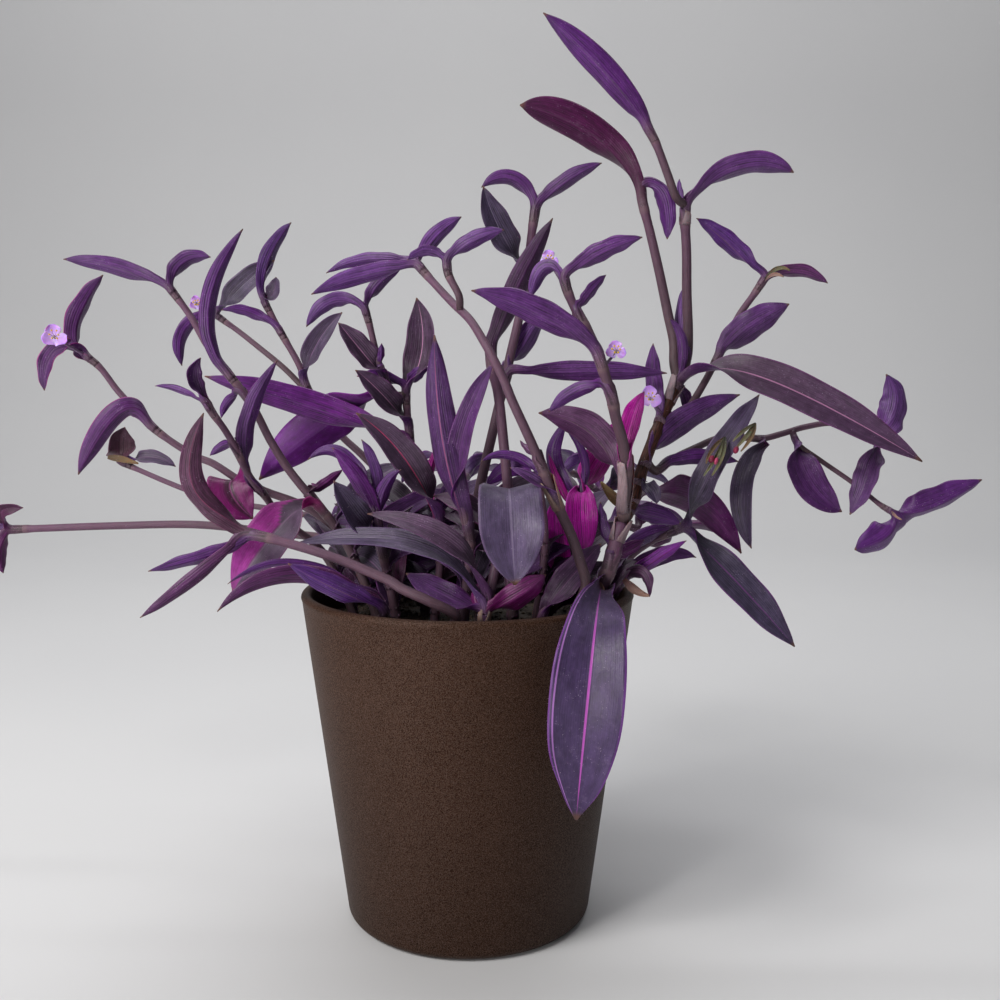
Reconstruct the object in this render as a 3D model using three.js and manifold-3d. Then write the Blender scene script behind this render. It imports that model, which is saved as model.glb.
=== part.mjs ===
// A potted tradescantia: a tapered pot, its soil, leafy stems with lance-shaped leaves, and small
// three-petalled blooms. Millimetres, +Z up, origin on the pot's axis at the surface it stands on.
import * as THREE from "three";
import { mergeVertices } from "three/addons/utils/BufferGeometryUtils.js";
import Module from "manifold-3d";

const wasm = await Module();
wasm.setup();

// ---------------------------------------------------------------- driving dimensions

const POT = {
  height: 165,
  rimRadius: 82.5,
  baseRadius: 61,
  wall: 5,
  floor: 8,
  footRound: 4,
  lipRound: 2.5,
  sides: 48,
};
const SOIL = { top: 147, crown: 3, crownShare: 0.8, gap: 0.3, rootDepth: 25, collar: 3 };
const HOLE = { gap: 0.4, sides: 6, overcut: 20 };

// The plant is laid out as seen from the front: a place is [x, z, y], where x and z are read on the
// upright plane through the pot's axis, and y is the true depth, away from the eye.
const EYE = { x: 16, z: 270, distance: 560 };

// The stems lean apart in depth as they rise: their y grows by this gain between the two heights.
const LEAN = { from: 165, to: 300, gain: 1.9 };

const STEM = { sides: 5, step: 20, swell: 1.22, swellReach: 5 };
const LEAF = {
  widestAt: 0.4,
  baseShare: 0.38,
  tipShare: 0.05,
  thickness: 1.4,
  baseFold: 58,
  turnReach: 0.4,
  segments: 5,
  smallSegments: 4,
  smallWidth: 9.5,
};
const BLOOM = {
  petals: 3,
  petalThickness: 0.8,
  heartRadius: 1.3,
  stalkRadius: 0.8,
  stalkSides: 4,
  gap: 0.6,
};

// ---------------------------------------------------------------- the plant's layout

// Every node is one rooted stem with its side shoots. A shoot is
//   [start, places along it, radius at its foot, radius at its tip, leaves]
// where start is the root's [x, y] in the soil, or the number of the shoot that it grows from.
// A leaf is [base x, z,  middle x, z, depth,  tip x, z, depth,  width, face, fold, arch]: its depths
// count from its base, face is 0 where the upper side meets the eye and 180 where the underside
// does, fold is the keel's angle, and arch lifts the first half of the blade.
const PLANT = {
  stem_right_main: [
    [[57, -27], [[68, 168, -32], [71, 176, -31], [74, 188, -28], [77.5, 199, -24]], 3.6, 3.3, [
      [66, 166, 62, 122, -50, 55, 44, -43, 37, 8, 10, 3],
      [69, 183, 67, 195, 8, 66, 208, 10, 7, 120, 20, 0],
      [73, 182, 81, 184, 10, 88, 189, 14, 8, 150, 20, 0]]],
    [0, [[82, 209, -18], [86, 223, -12], [91, 237, -5], [96, 250, 1], [101, 262, 5],
      [103.5, 268, 7]], 3.0, 2.8, [
      [104, 266, 155, 262, -12, 225, 228, -24, 19, 30, 14, 5],
      [85, 228, 106, 247, 13, 134, 261, 19, 14, 150, 20, 0],
      [82, 210, 112, 209, 34, 136.5, 182, 38, 18, 145, 15, 0],
      [80, 204, 93, 201, 8, 106, 197, 12, 11, 150, 20, 0],
      [86, 218, 91, 214, -7, 94, 207, -9, 8, 30, 15, 0],
      [95, 249, 91, 268, 6, 91, 286, 8, 9, 150, 15, 0],
      [103, 265, 107, 260, 5, 108, 251, 7, 6, 150, 15, 0],
      [104, 268, 105, 286, -3, 98.5, 298, -4, 5.5, 160, 20, 0]]],
    [1, [[101.5, 276, 8], [101, 287, 9], [98, 300, 10], [93.5, 320, 11], [88.5, 340, 12],
      [85, 353, 12], [84, 360, 12]], 2.6, 2.2, [
      [84, 357, 56, 386, -6, 25.5, 399, -10, 17, 160, 20, 3],
      [84.5, 360, 93.5, 357, -5, 97, 336, -8, 10, 150, 20, 0]]],
    [1, [[107.5, 279, 9], [108, 290, 10], [107, 310, 10], [106.5, 330, 10], [105.5, 345, 9],
      [105.5, 352, 8]], 2.6, 2.3, [
      [106, 351, 130, 369, -4, 157.5, 367.5, -6, 13.5, 125, 22, 0],
      [105, 351, 102.5, 358, 3, 102.5, 364.5, 4, 4, 120, 10, 0],
      [107.5, 280, 103, 297, 5, 106, 314, 6, 6, 120, 15, 0]]],
    [3, [[101, 356, 4], [97, 366, 3], [91, 381, 2], [86, 390, 2]], 2.1, 1.9, [
      [87, 388, 66, 414, -4, 36.5, 441.5, -6, 13.5, 160, 20, 0]]],
    [1, [[104, 248, 4], [110, 256, 6], [117, 268, 9], [122, 278, 11], [128, 290, 12],
      [133, 300, 12], [140, 310, 12], [144.5, 317, 12]], 1.9, 1.7, [
      [123, 281, 137, 293, -2, 157, 305, -4, 15, 155, 15, 0],
      [144.5, 317, 125, 335.5, -3, 111, 346, -5, 10, 145, 15, 0],
      [144.5, 316, 160, 320, -3, 175.5, 315, -5, 8.5, 120, 20, 0]]],
    [0, [[77.5, 207, -27], [78.5, 218, -29], [78, 230, -30], [76, 240, -31], [73, 250, -32],
      [71, 260, -33], [67, 272, -33], [64, 281, -33], [59, 292, -31], [53, 302, -29],
      [49, 311, -28], [47, 318, -28]], 3.0, 1.9, [
      [64, 281, 35, 300, -10, 2, 311.5, -14, 15.5, 155, 20, 0],
      [54, 301, 60, 310, 4, 67.5, 319, 8, 7, 120, 15, 0],
      [47, 317, 64, 328.5, -3, 85, 337, -4, 11, 140, 20, 0],
      [47, 317, 38, 322, 2, 31, 308, 4, 8, 150, 20, 0],
      [79, 231, 81, 249, 6, 87, 262.5, 8, 10, 20, 12, 0],
      [78, 211, 63, 240, 8, 35, 252, 12, 18, 145, 15, 0],
      [70, 264, 55, 263, 5, 40, 252.5, 8, 8, 150, 20, 0]]],
    [1, [[93, 223.5, -6], [100, 228.5, 0], [112, 234.5, 6], [124, 239.5, 11], [135, 240, 14],
      [146, 239.5, 16], [156, 242, 18], [166, 245, 19], [180, 247, 20], [192, 244, 19],
      [201, 239, 18]], 2.0, 1.4, [
      [97, 226, 113, 229.5, 2, 134, 228, 4, 9, 140, 20, 0],
      [146, 239, 136.5, 214, -8, 141.5, 184.5, -10, 11.5, 30, 15, 0],
      [201, 239, 210, 256, 4, 205.5, 271, 8, 11, 150, 20, 0],
      [201, 239, 196, 219, -9, 190, 201.5, -11, 11, 40, 15, 0]]],
    [7, [[163, 237, 18], [174, 229, 19], [189.5, 218.5, 19], [198, 212, 17], [205, 206.5, 15],
      [210, 203.5, 15]], 1.3, 1.2, [
      [160, 239, 167, 219, -7, 186, 203, -9, 17, 35, 12, 3],
      [210, 203.5, 232, 206.5, -2, 255, 219, -3, 9, 115, 30, 0],
      [210, 203.5, 211, 193, -2, 193, 184, -3, 11, 120, 30, 0]]],
  ],
  stem_center: [
    [[46, -43], [[59, 165, -44], [56, 178, -44], [52, 190, -44], [47, 201, -43], [42, 212, -42],
      [38, 222, -41], [33, 234, -40], [28, 245, -39], [22, 258, -37], [18, 268, -35],
      [13, 278, -33], [8, 287, -30], [1.3, 297.4, -26], [-7.3, 305.7, -22], [-17, 316, -18],
      [-24, 324, -16]], 2.8, 1.7, [
      [-24, 323, -52, 318, -4, -76, 309.6, -8, 10, 150, 20, 0],
      [-24, 324, -48, 326, 6, -68.6, 319.8, 8, 7, 140, 20, 0],
      [-24, 324, -15, 337, 5, -2.6, 346.7, 6, 9, 150, 20, 0],
      [41, 214, 24, 230, 5, 6.5, 228, 4, 5.5, 150, 20, 0],
      [42, 212, 31, 220, -5, 21, 225, -5, 6, 40, 20, 0],
      [35, 230, 29, 234, 6, 26, 238.5, 8, 4, 120, 20, 0]]],
    [0, [[-4, 309, -27], [-9, 319, -26], [-10, 326, -26]], 1.7, 1.6, [
      [-10, 325, -18, 331, -3, -25.5, 327, -4, 9, 40, 20, 0],
      [-10, 325, 2, 334.5, -4, 18, 340.5, -6, 9, 150, 20, 0]]],
  ],
  stem_shield_leaf: [
    [[22, -26], [[21, 180, -22], [20, 213, -20], [17.5, 240, -18], [15, 262, -16], [12, 274, -15],
      [11.5, 283, -14]], 2.8, 2.3, [
      [20, 205, 21, 203, -36, 23.5, 166, -46, 31, 5, 10, 5],
      [11.5, 281, 23, 309, -5, 41.5, 346, -8, 12, 150, 18, 0],
      [21, 172, 10, 190, 4, 6, 206, 6, 8, 150, 20, 0]]],
  ],
  stem_grey_blade: [
    [[6, -6], [[3, 190, -4], [4, 203, -4], [6, 215, -4], [9, 228, -3], [12.5, 243, -2],
      [16, 258, 0], [19, 270, 1], [21, 280, 2], [25, 297, 4], [29, 318, 6], [31, 336, 7],
      [33, 350, 8]], 2.8, 2.1, [
      [20, 274, 28, 286, 6, 38, 302, 8, 12, 150, 20, 0],
      [19.5, 271, 56, 272, -3, 98, 271.5, -4, 10.5, 150, 15, 0],
      [33, 350, 22, 364, -3, 7, 360.5, -4, 9, 150, 25, 0],
      [33, 350, 48, 363, -3, 65, 372, -4, 9, 150, 25, 0],
      [29, 318, 15, 342, -9, 8, 361, -11, 14, 30, 12, 0]]],
  ],
  stem_heart: [
    [[40, -6], [[46, 160, -8], [52, 185, -8], [56, 203, -7], [57, 213, -6]], 2.6, 1.9, [
      [57, 212, 56, 200, -13, 58, 180.5, -17, 16, 20, 10, 3],
      [57, 211, 61, 226, 5, 66, 241, 9, 14, 150, 15, 0],
      [57, 212, 57, 230, 0, 47, 247, 2, 5, 140, 20, 0],
      [56, 208, 42, 229, 8, 50, 249, 13, 9, 150, 20, 0],
      [53, 200, 46, 215, 2, 40, 232, 4, 4.5, 140, 20, 0],
      [47, 164, 43, 184, -6, 46, 201, -8, 10.5, 20, 12, 0]]],
  ],
  stem_mauve: [
    [[33, -20], [[37, 170, -22], [38.5, 186, -23], [38, 200, -23], [36, 212, -22],
      [35, 217, -22]], 1.9, 1.6, [
      [35, 216, 24, 225, 10, 9, 216, 12, 10, 150, 20, 0]]],
  ],
  stem_front: [
    [[8, -50], [[8.5, 152, -52], [10.5, 160, -50], [13, 172, -47], [15, 182, -42],
      [16, 192, -38]], 2.8, 2.0, [
      [9, 156, -14, 188, -8, -50, 202, -2, 12, 35, 14, 4],
      [8.5, 152, -34, 184, 4, -86, 187, 16, 11.5, 40, 14, 6],
      [8.5, 151, -13, 161, 5, -31, 172, 9, 14, 35, 15, 0],
      [9, 152, 3.5, 159, 3, 7, 168, 5, 6, 150, 20, 0],
      [9, 152, 25, 160, -3, 39, 171.5, -3, 14, 150, 15, 0],
      [15.5, 188, 22, 200, 3, 26, 209, 4, 8, 150, 15, 0]]],
  ],
  stem_front_right: [
    [[34, -35], [[37, 150, -35], [39, 155, -35]], 2.4, 2.0, [
      [38, 152, 51, 169, 2, 66.5, 187, 6, 15, 35, 10, 0]]],
  ],
  stem_front_left: [
    [[-8, -50], [[-6, 150, -57], [-20, 158, -61], [-33, 164, -59], [-40, 168.5, -57],
      [-70, 181, -51], [-100, 190, -45], [-109, 192, -43]], 2.6, 2.1, [
      [-109, 192, -136, 213, -7, -130, 252, -10, 12, 150, 15, 3],
      [-106, 191, -125, 182, -2, -160, 173, -4, 9, 120, 15, 0],
      [-109, 191, -140, 167, -8, -165, 149.3, -12, 8, 150, 20, 0]]],
  ],
  stem_over_rim: [
    [[-40, -40], [[-42, 152, -48], [-44, 157, -50]], 2.4, 2.0, [
      [-43, 154, -66, 164, -15, -90, 177, -22, 11.5, 150, 12, 0],
      [-44, 156, -88, 171, -16, -126, 152.5, -26, 10, 150, 15, 0],
      [-44, 157, -85, 176.5, -2, -120.5, 166.5, -6, 5.5, 120, 15, 0]]],
  ],
  stem_violet_blade: [
    [[-2, -24], [[0, 170, -24], [1, 188, -23], [-1, 200, -22], [-3, 208, -21]], 2.8, 2.3, [
      [0, 195, -12, 237, -7, -16, 290, -9, 16, 150, 18, 0],
      [-2, 204, -3, 238, -6, 13, 277, -11, 12, 35, 18, 0]]],
  ],
  stem_red_rib: [
    [[-16, -12], [[-14, 175, -12], [-14, 193, -12], [-15, 200, -11]], 2.4, 2.0, [
      [-14, 195, -31, 229, -9, -55, 252, -13, 17, 30, 18, 0],
      [-14, 197, -11, 210, 4, -4, 221, 6, 8, 150, 20, 0],
      [-15, 200, -19, 220, 8, -11, 240, 10, 5, 150, 20, 0]]],
  ],
  stem_left_heart: [
    [[-34, -22], [[-40, 170, -24], [-44, 188, -25], [-45, 200, -25], [-46, 206, -25]], 2.4, 1.9, [
      [-45, 200, -55, 219, -8, -67, 235, -11, 9.5, 150, 18, 0],
      [-46, 205, -62, 231, 4, -79, 229, 6, 8, 150, 25, 0],
      [-46, 205, -46, 222, 2, -52.4, 239, 3, 7, 140, 20, 0],
      [-44, 196, -41, 214, -5, -33, 224, -8, 8, 150, 20, 0],
      [-43, 186, -57, 203, -14, -66.5, 218.5, -17, 15, 40, 15, 0]]],
  ],
  stem_middle_left: [
    [[-22, 8], [[-24, 180, 6], [-25, 205, 5], [-27, 225, 4], [-28.5, 241, 3], [-30, 256, 2],
      [-30.3, 265, 2]], 2.6, 1.7, [
      [-30, 264, -41, 269, -4, -54.3, 270, -6, 7, 140, 20, 0],
      [-30, 264, -24, 271, 2, -19, 274, 3, 7, 150, 20, 0],
      [-28.5, 245, -42, 261, -11, -53.5, 269, -16, 9, 35, 20, 0],
      [-29.5, 262, -24, 284, 5, -24.7, 304.3, 6, 11, 35, 18, 0],
      [-28, 238, -80, 256, -8, -129, 270, -10, 15, 150, 15, 0]]],
    [0, [[-36, 261, 0], [-42, 272, -1], [-45, 283, -2], [-47.5, 294, -3], [-50, 303, -4]],
      1.8, 1.5, [
      [-50, 302, -65, 306, -3, -78.6, 294, -4, 9, 150, 25, 0],
      [-50, 302, -43, 314, 3, -32, 322, 4, 8, 150, 25, 0],
      [-38, 264, -74, 243, 12, -103.4, 219, 17, 24, 150, 15, 0],
      [-41, 269, -51, 280, -5, -62.3, 291.6, -7, 8.5, 35, 20, 0],
      [-43, 275, -42, 281, -3, -42, 286, -4, 4, 150, 20, 0]]],
  ],
  stem_left_grey: [
    [[-26, 30], [[-28, 190, 30], [-31, 208, 29], [-38.5, 217, 28], [-53, 232, 27],
      [-62.5, 241, 27], [-72, 254, 27], [-79, 265, 26], [-82.3, 275, 26], [-89.7, 288.7, 26],
      [-97.7, 303.7, 26], [-100, 309, 26]], 2.4, 1.6, [
      [-100, 308, -94, 325, 0, -83, 337, 0, 6, 110, 25, 0],
      [-99, 307, -109, 309, -4, -117, 303, -6, 11, 40, 20, 0],
      [-98.5, 306, -92, 312, -3, -90, 320, -4, 11, 40, 20, 0],
      [-92, 293, -107, 301, -3, -120, 302, -5, 6, 150, 20, 0],
      [-80, 267, -74, 285, -7, -61, 301, -9, 11, 35, 20, 0]]],
    [0, [[-92, 274, 27], [-102, 283, 28], [-111, 291, 29], [-118, 294.6, 29], [-126, 300, 30]],
      1.6, 1.4, [
      [-125, 299, -138, 292, -3, -140, 275, -4, 8, 140, 20, 0]]],
  ],
  stem_left_tall: [
    [[-44, -14], [[-60, 186, -15], [-75, 207, -15], [-83, 216.6, -15], [-90, 226, -15],
      [-98, 239.5, -15], [-104, 252, -15], [-109.5, 261, -15], [-118, 272, -14],
      [-127.6, 285.5, -13], [-135, 299, -12], [-145, 313, -12]], 2.6, 1.5, [
      [-145, 312, -170, 322, -3, -196, 326.5, -5, 9.5, 150, 22, 0],
      [-145, 312, -138, 324.5, 3, -124.5, 327.5, 4, 9.5, 140, 22, 0],
      [-118, 272, -126, 303, -4, -108.4, 341, -6, 9, 150, 20, 0],
      [-75, 207, -99, 187, -13, -118, 162, -19, 24, 35, 12, 3],
      [-80, 212, -72, 216, 5, -62, 224, 8, 5.5, 150, 20, 0],
      [-111, 263, -118, 257, 5, -121.4, 249.5, 7, 5, 150, 20, 0]]],
  ],
  stem_left_long: [
    [[-48, 12], [[-62, 190, 12], [-80, 205, 10], [-100, 213, 8], [-112, 218, 7], [-126, 227, 6],
      [-135.5, 231, 6], [-152.5, 242.5, 5], [-162, 252, 5], [-172, 263, 5], [-180, 274, 5],
      [-187, 280, 5]], 2.5, 1.5, [
      [-187, 279, -191, 294, 3, -177, 319, 5, 9.5, 125, 25, 0],
      [-187, 279, -201, 282, -4, -208, 263, -6, 9, 60, 25, 0],
      [-156, 246, -173, 249, -6, -193, 221.5, -9, 16, 150, 20, 3],
      [-110, 217, -117, 212, -9, -112, 197, -13, 20, 30, 15, 3]]],
  ],
  stem_left_slender: [
    [[-56, -10], [[-72, 182, -9], [-88, 196, -9], [-95.5, 203, -12], [-100.7, 211, -17],
      [-105, 216, -21], [-110, 224, -23], [-114.4, 234, -25], [-120, 244, -26], [-125.6, 252, -27],
      [-130, 260, -27]], 2.2, 1.5, [
      [-130, 259, -135, 270, -2, -130.6, 279, -3, 9, 40, 20, 0],
      [-128, 256, -142, 263, 4, -153.5, 265.3, 6, 4.5, 120, 20, 0],
      [-104, 215, -109, 243, -6, -93, 278, -8, 9.5, 150, 18, 0],
      [-115, 236, -120, 236, 5, -127.5, 231, 7, 5, 150, 20, 0]]],
  ],
  stem_left_spent: [
    [[-42, 28], [[-62, 195, 32], [-90, 203, 38], [-120, 208, 42], [-137, 213, 44],
      [-149.6, 218, 45], [-161, 223, 46], [-170, 227, 46]], 1.9, 1.4, [
      [-170, 227, -157, 230, -4, -144.6, 225.5, -5, 7.5, 40, 20, 0],
      [-170, 227, -172, 237, -3, -169, 245, -4, 14, 35, 15, 0]]],
  ],
  stem_left_trailing: [
    [[-34, 46], [[-50, 184, 56], [-66, 189, 70], [-100, 193, 92], [-135, 196.5, 100], [-175, 196, 105],
      [-217, 194.5, 108], [-228, 194, 108]], 2.6, 2.2, [
      [-226, 194, -232, 203, -4, -221, 205, -6, 7, 40, 20, 0],
      [-227, 194, -233, 185, -4, -232.5, 172, -6, 8, 150, 20, 0],
      [-227, 194, -240, 200, 2, -251, 194, 3, 9, 150, 20, 0]]],
  ],
  stem_right_low: [
    [[58, 10], [[72, 168, 12], [80, 180, 13], [92, 189, 12], [106, 195, 9]], 2.8, 2.3, [
      [106, 195, 134, 168, -8, 164.5, 134.5, -12, 17, 30, 10, 0],
      [106, 195, 124, 230, -17, 143.5, 261, -4, 13.5, 35, 15, 0],
      [103, 194, 88, 190, -5, 74, 178, -8, 9, 150, 20, 0]]],
  ],
  stem_right_rim: [
    [[64, -10], [[73, 162, -14], [77, 168, -14]], 2.4, 2.0, [
      [75, 165, 91, 177, -3, 109, 188.5, -5, 7.5, 150, 20, 0],
      [76, 167, 96, 180, 8, 114, 180, 12, 10, 35, 15, 0],
      [76, 167, 86, 172, -8, 91, 160, -12, 8, 150, 25, 0]]],
  ],
};

// Stems that fall over the back of the pot, placed by a rule: their turn round the axis from +X, then
// radius and height along the way, and leaves to either side in turn.
const BACK = {
  seed: 11,
  firstTurn: 40,
  turnStep: 18,
  count: 5,
  rootRadius: 52,
  radii: [64, 82, 100, 117, 132],
  heights: [168, 180, 186, 184, 176],
  raised: 27,
  wander: 4,
  footRadius: 2.6,
  tipRadius: 1.6,
  leafLength: 50,
  leafWidth: 15,
  leafTurn: 38,
  leafRise: 9,
  leafDrop: 6,
};

// A bloom is [host node, shoot, host's x and z, centre's x and z, its depth from the host, radius].
const BLOOMS = {
  bloom_left_long: ["stem_left_long", 0, -187, 280, -202, 289, -16, 6.5],
  bloom_left_grey: ["stem_left_grey", 1, -126, 300, -132, 305, -9, 4.5],
  bloom_right_main: ["stem_right_main", 1, 96, 251, 90, 259, -14, 6],
  bloom_center_top: ["stem_right_main", 6, 50, 309, 40, 326, 17, 5],
  bloom_center_low: ["stem_right_main", 6, 66, 274, 73, 282, 4, 5],
};

const MATERIALS = {
  pot: { color: 0x4a382e, roughness: 0.85 },
  soil: { color: 0x2a1d17, roughness: 1 },
  stem: { color: 0x563a5f, roughness: 0.55 },
  bloom: { color: 0xc9a4e6, roughness: 0.6 },
};

const JOIN_TOLERANCE = 0.03;

// ---------------------------------------------------------------- small helpers

const radians = THREE.MathUtils.degToRad;
const vec = (x, y, z) => new THREE.Vector3(x, y, z);
const SKY = vec(0, 0, 1);
const mix = (a, b, t) => a + (b - a) * t;

function smooth(t) {
  const u = Math.min(1, Math.max(0, t));
  return u * u * (3 - 2 * u);
}

// Scale of the true plant at depth y against the plane through the pot's axis.
const scaleAt = (y) => (y + EYE.distance) / EYE.distance;

// What a true place is seen at, as [x, z, y].
function seenFrom({ x, y, z }) {
  const k = scaleAt(y);
  return [EYE.x + (x - EYE.x) / k, EYE.z + (z - EYE.z) / k, y];
}

// True place of what is seen at [x, z] on the plane through the pot's axis and lies at depth y.
function seen(x, z, y) {
  const k = scaleAt(y);
  return vec(EYE.x + (x - EYE.x) * k, y, EYE.z + (z - EYE.z) * k);
}

// Depth of a stem's place, with the lean that its height gives.
const leaned = (z, y) => y * mix(1, LEAN.gain, smooth((z - LEAN.from) / (LEAN.to - LEAN.from)));

function material(name) {
  const { color, roughness } = MATERIALS[name];
  return new THREE.MeshStandardMaterial({ color, roughness, metalness: 0 });
}

// A closed geometry becomes a solid that can be joined and cut.
function solidOf(geometry) {
  const bare = new THREE.BufferGeometry();
  bare.setAttribute("position", geometry.getAttribute("position"));
  bare.setIndex(geometry.index);
  const merged = mergeVertices(bare, 1e-3);
  return new wasm.Manifold(
    new wasm.Mesh({
      numProp: 3,
      vertProperties: new Float32Array(merged.attributes.position.array),
      triVerts: new Uint32Array(merged.index.array),
    }),
  );
}

function geometryOf(solid) {
  const mesh = solid.getMesh();
  const geometry = new THREE.BufferGeometry();
  geometry.setAttribute("position", new THREE.BufferAttribute(mesh.vertProperties, 3));
  geometry.setIndex(new THREE.BufferAttribute(mesh.triVerts, 1));
  return geometry;
}

// Joins solids, with slivers below the tolerance gone, and keeps the largest body.
function joined(solids) {
  const whole = solids.reduce((sum, solid) => sum.add(solid)).simplify(JOIN_TOLERANCE);
  const bodies = whole.decompose();
  return bodies.reduce((best, body) => (body.volume() > best.volume() ? body : best));
}

// A closed skin over rings of equal point counts, each running anticlockwise seen from the tip. The
// diagonals leave the even points, so that a blade's two faces are split alike, and the end caps fan
// out from point 1, which is the inner corner of a keeled blade's section.
function skin(rings) {
  const count = rings[0].length;
  const points = rings.flat();
  const faces = [];
  rings.slice(1).forEach((_, i) => {
    for (let k = 0; k < count; k++) {
      const a = i * count + k;
      const b = i * count + ((k + 1) % count);
      const cut = k % 2 === 0 ? [a, b + count] : [b, a + count];
      faces.push(a, b, cut[1], cut[0], b + count, a + count);
    }
  });
  const last = points.length - count;
  for (let k = 2; k < count; k++) {
    const next = (k + 1) % count;
    faces.push(1, next, k, last + 1, last + k, last + next);
  }
  const geometry = new THREE.BufferGeometry();
  geometry.setAttribute(
    "position",
    new THREE.Float32BufferAttribute(points.flatMap((p) => [p.x, p.y, p.z]), 3),
  );
  geometry.setIndex(faces);
  return geometry;
}

// ---------------------------------------------------------------- stems

// A smooth line through the given places, sampled about every millimetre.
function fineLine(places) {
  const slopes = places.map((p, i) => {
    const before = places[Math.max(0, i - 1)];
    const after = places[Math.min(places.length - 1, i + 1)];
    const reach = p.distanceTo(before) + p.distanceTo(after);
    return after.clone().sub(before).divideScalar(reach);
  });
  const line = [places[0].clone()];
  for (let i = 0; i < places.length - 1; i++) {
    const span = places[i].distanceTo(places[i + 1]);
    const steps = Math.max(1, Math.round(span));
    for (let k = 1; k <= steps; k++) {
      const t = k / steps;
      const point = places[i].clone().multiplyScalar((1 + 2 * t) * (1 - t) ** 2);
      point.addScaledVector(slopes[i], span * t * (1 - t) ** 2);
      point.addScaledVector(places[i + 1], t * t * (3 - 2 * t));
      point.addScaledVector(slopes[i + 1], span * t * t * (t - 1));
      line.push(point);
    }
  }
  return line;
}

function nearest(line, target) {
  let best = 0;
  line.forEach((p, i) => {
    if (p.distanceTo(target) < line[best].distanceTo(target)) best = i;
  });
  return best;
}

// The sample of a line that is seen nearest to [x, z].
function nearestSeen(line, x, z) {
  let best = 0;
  let least = Infinity;
  line.forEach((p, i) => {
    const [px, pz] = seenFrom(p);
    const away = Math.hypot(px - x, pz - z);
    if (away < least) {
      least = away;
      best = i;
    }
  });
  return best;
}

function directionAt(line, i) {
  const from = line[Math.max(0, i - 2)];
  const to = line[Math.min(line.length - 1, i + 2)];
  return to.clone().sub(from).normalize();
}

// Lines and radii of a node's shoots, each side shoot starting on the one that it grows from.
function shootLines(shoots) {
  const made = [];
  shoots.forEach(([start, places, footRadius, tipRadius]) => {
    const path = places.map(([x, z, y]) => seen(x, z, leaned(z, y)));
    if (Array.isArray(start)) {
      const [x, y] = start;
      const heights = [-SOIL.rootDepth, SOIL.collar, 2 * SOIL.collar];
      path.unshift(...heights.map((height) => vec(x, y, SOIL.top + height)));
    } else {
      const parent = made[start].line;
      path.unshift(parent[nearest(parent, path[0])].clone());
    }
    const collar = Array.isArray(start) ? SOIL.rootDepth + SOIL.collar : 0;
    made.push({ line: fineLine(path), collar, footRadius, tipRadius });
  });
  return made;
}

function stemRadius(shoot, i, joints) {
  const taper = mix(shoot.footRadius, shoot.tipRadius, i / (shoot.line.length - 1));
  const near = joints.some((j) => i - j >= 0 && i - j < STEM.swellReach);
  return near ? taper * STEM.swell : taper;
}

// A tube of a few sides round a shoot's line, swollen where leaves clasp it.
function stemSolid(shoot, joints, sides = STEM.sides) {
  const { line } = shoot;
  const stops = new Set([0, shoot.collar, line.length - 1]);
  const count = Math.max(1, Math.round(line.length / STEM.step));
  for (let k = 1; k < count; k++) stops.add(Math.round((k * (line.length - 1)) / count));
  const order = [...stops].sort((a, b) => a - b);
  let across = vec(1, 0, 0);
  const rings = order.map((i) => {
    const along = directionAt(line, i);
    across = across.clone().addScaledVector(along, -across.dot(along)).normalize();
    const other = along.clone().cross(across);
    const radius = stemRadius(shoot, i, joints);
    return Array.from({ length: sides }, (_, k) => {
      const turn = (2 * Math.PI * k) / sides;
      return line[i]
        .clone()
        .addScaledVector(across, radius * Math.cos(turn))
        .addScaledVector(other, radius * Math.sin(turn));
    });
  });
  return solidOf(skin(rings));
}

// ---------------------------------------------------------------- leaves

// Share of a leaf's full half-width at t, from 0 at the base to 1 at the tip.
function leafOutline(t) {
  if (t < LEAF.widestAt) {
    const u = 1 - t / LEAF.widestAt;
    return mix(1, LEAF.baseShare, u * u);
  }
  const u = (t - LEAF.widestAt) / (1 - LEAF.widestAt);
  return Math.max(LEAF.tipShare, 1 - u ** 2.1);
}

// Middle line of a leaf: a parabola through its base, middle and tip, with its first half lifted.
function leafSpine(base, middle, tip, arch, t) {
  const pull = middle.clone().multiplyScalar(2).sub(base.clone().add(tip).multiplyScalar(0.5));
  const point = base.clone().multiplyScalar((1 - t) ** 2);
  point.addScaledVector(pull, 2 * t * (1 - t));
  point.addScaledVector(tip, t * t);
  point.z += arch * (32 / 3) * t * (1 - t) * (1 - t) * (1 - t);
  return point;
}

// Direction of the upper side at the leaf's middle, turned from the eye by the leaf's face angle,
// or to the sky where the leaf has none.
function faceDirection(place, along, face) {
  if (face === null) return level(SKY, along);
  const toEye = vec(EYE.x, -EYE.distance, EYE.z).sub(place).normalize();
  const front = toEye.clone().addScaledVector(along, -toEye.dot(along)).normalize();
  const side = along.clone().cross(front);
  if (side.z < 0) side.negate();
  const turn = radians(face);
  return front.multiplyScalar(Math.cos(turn)).addScaledVector(side, Math.sin(turn));
}

function level(direction, along) {
  return direction.clone().addScaledVector(along, -direction.dot(along)).normalize();
}

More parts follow.
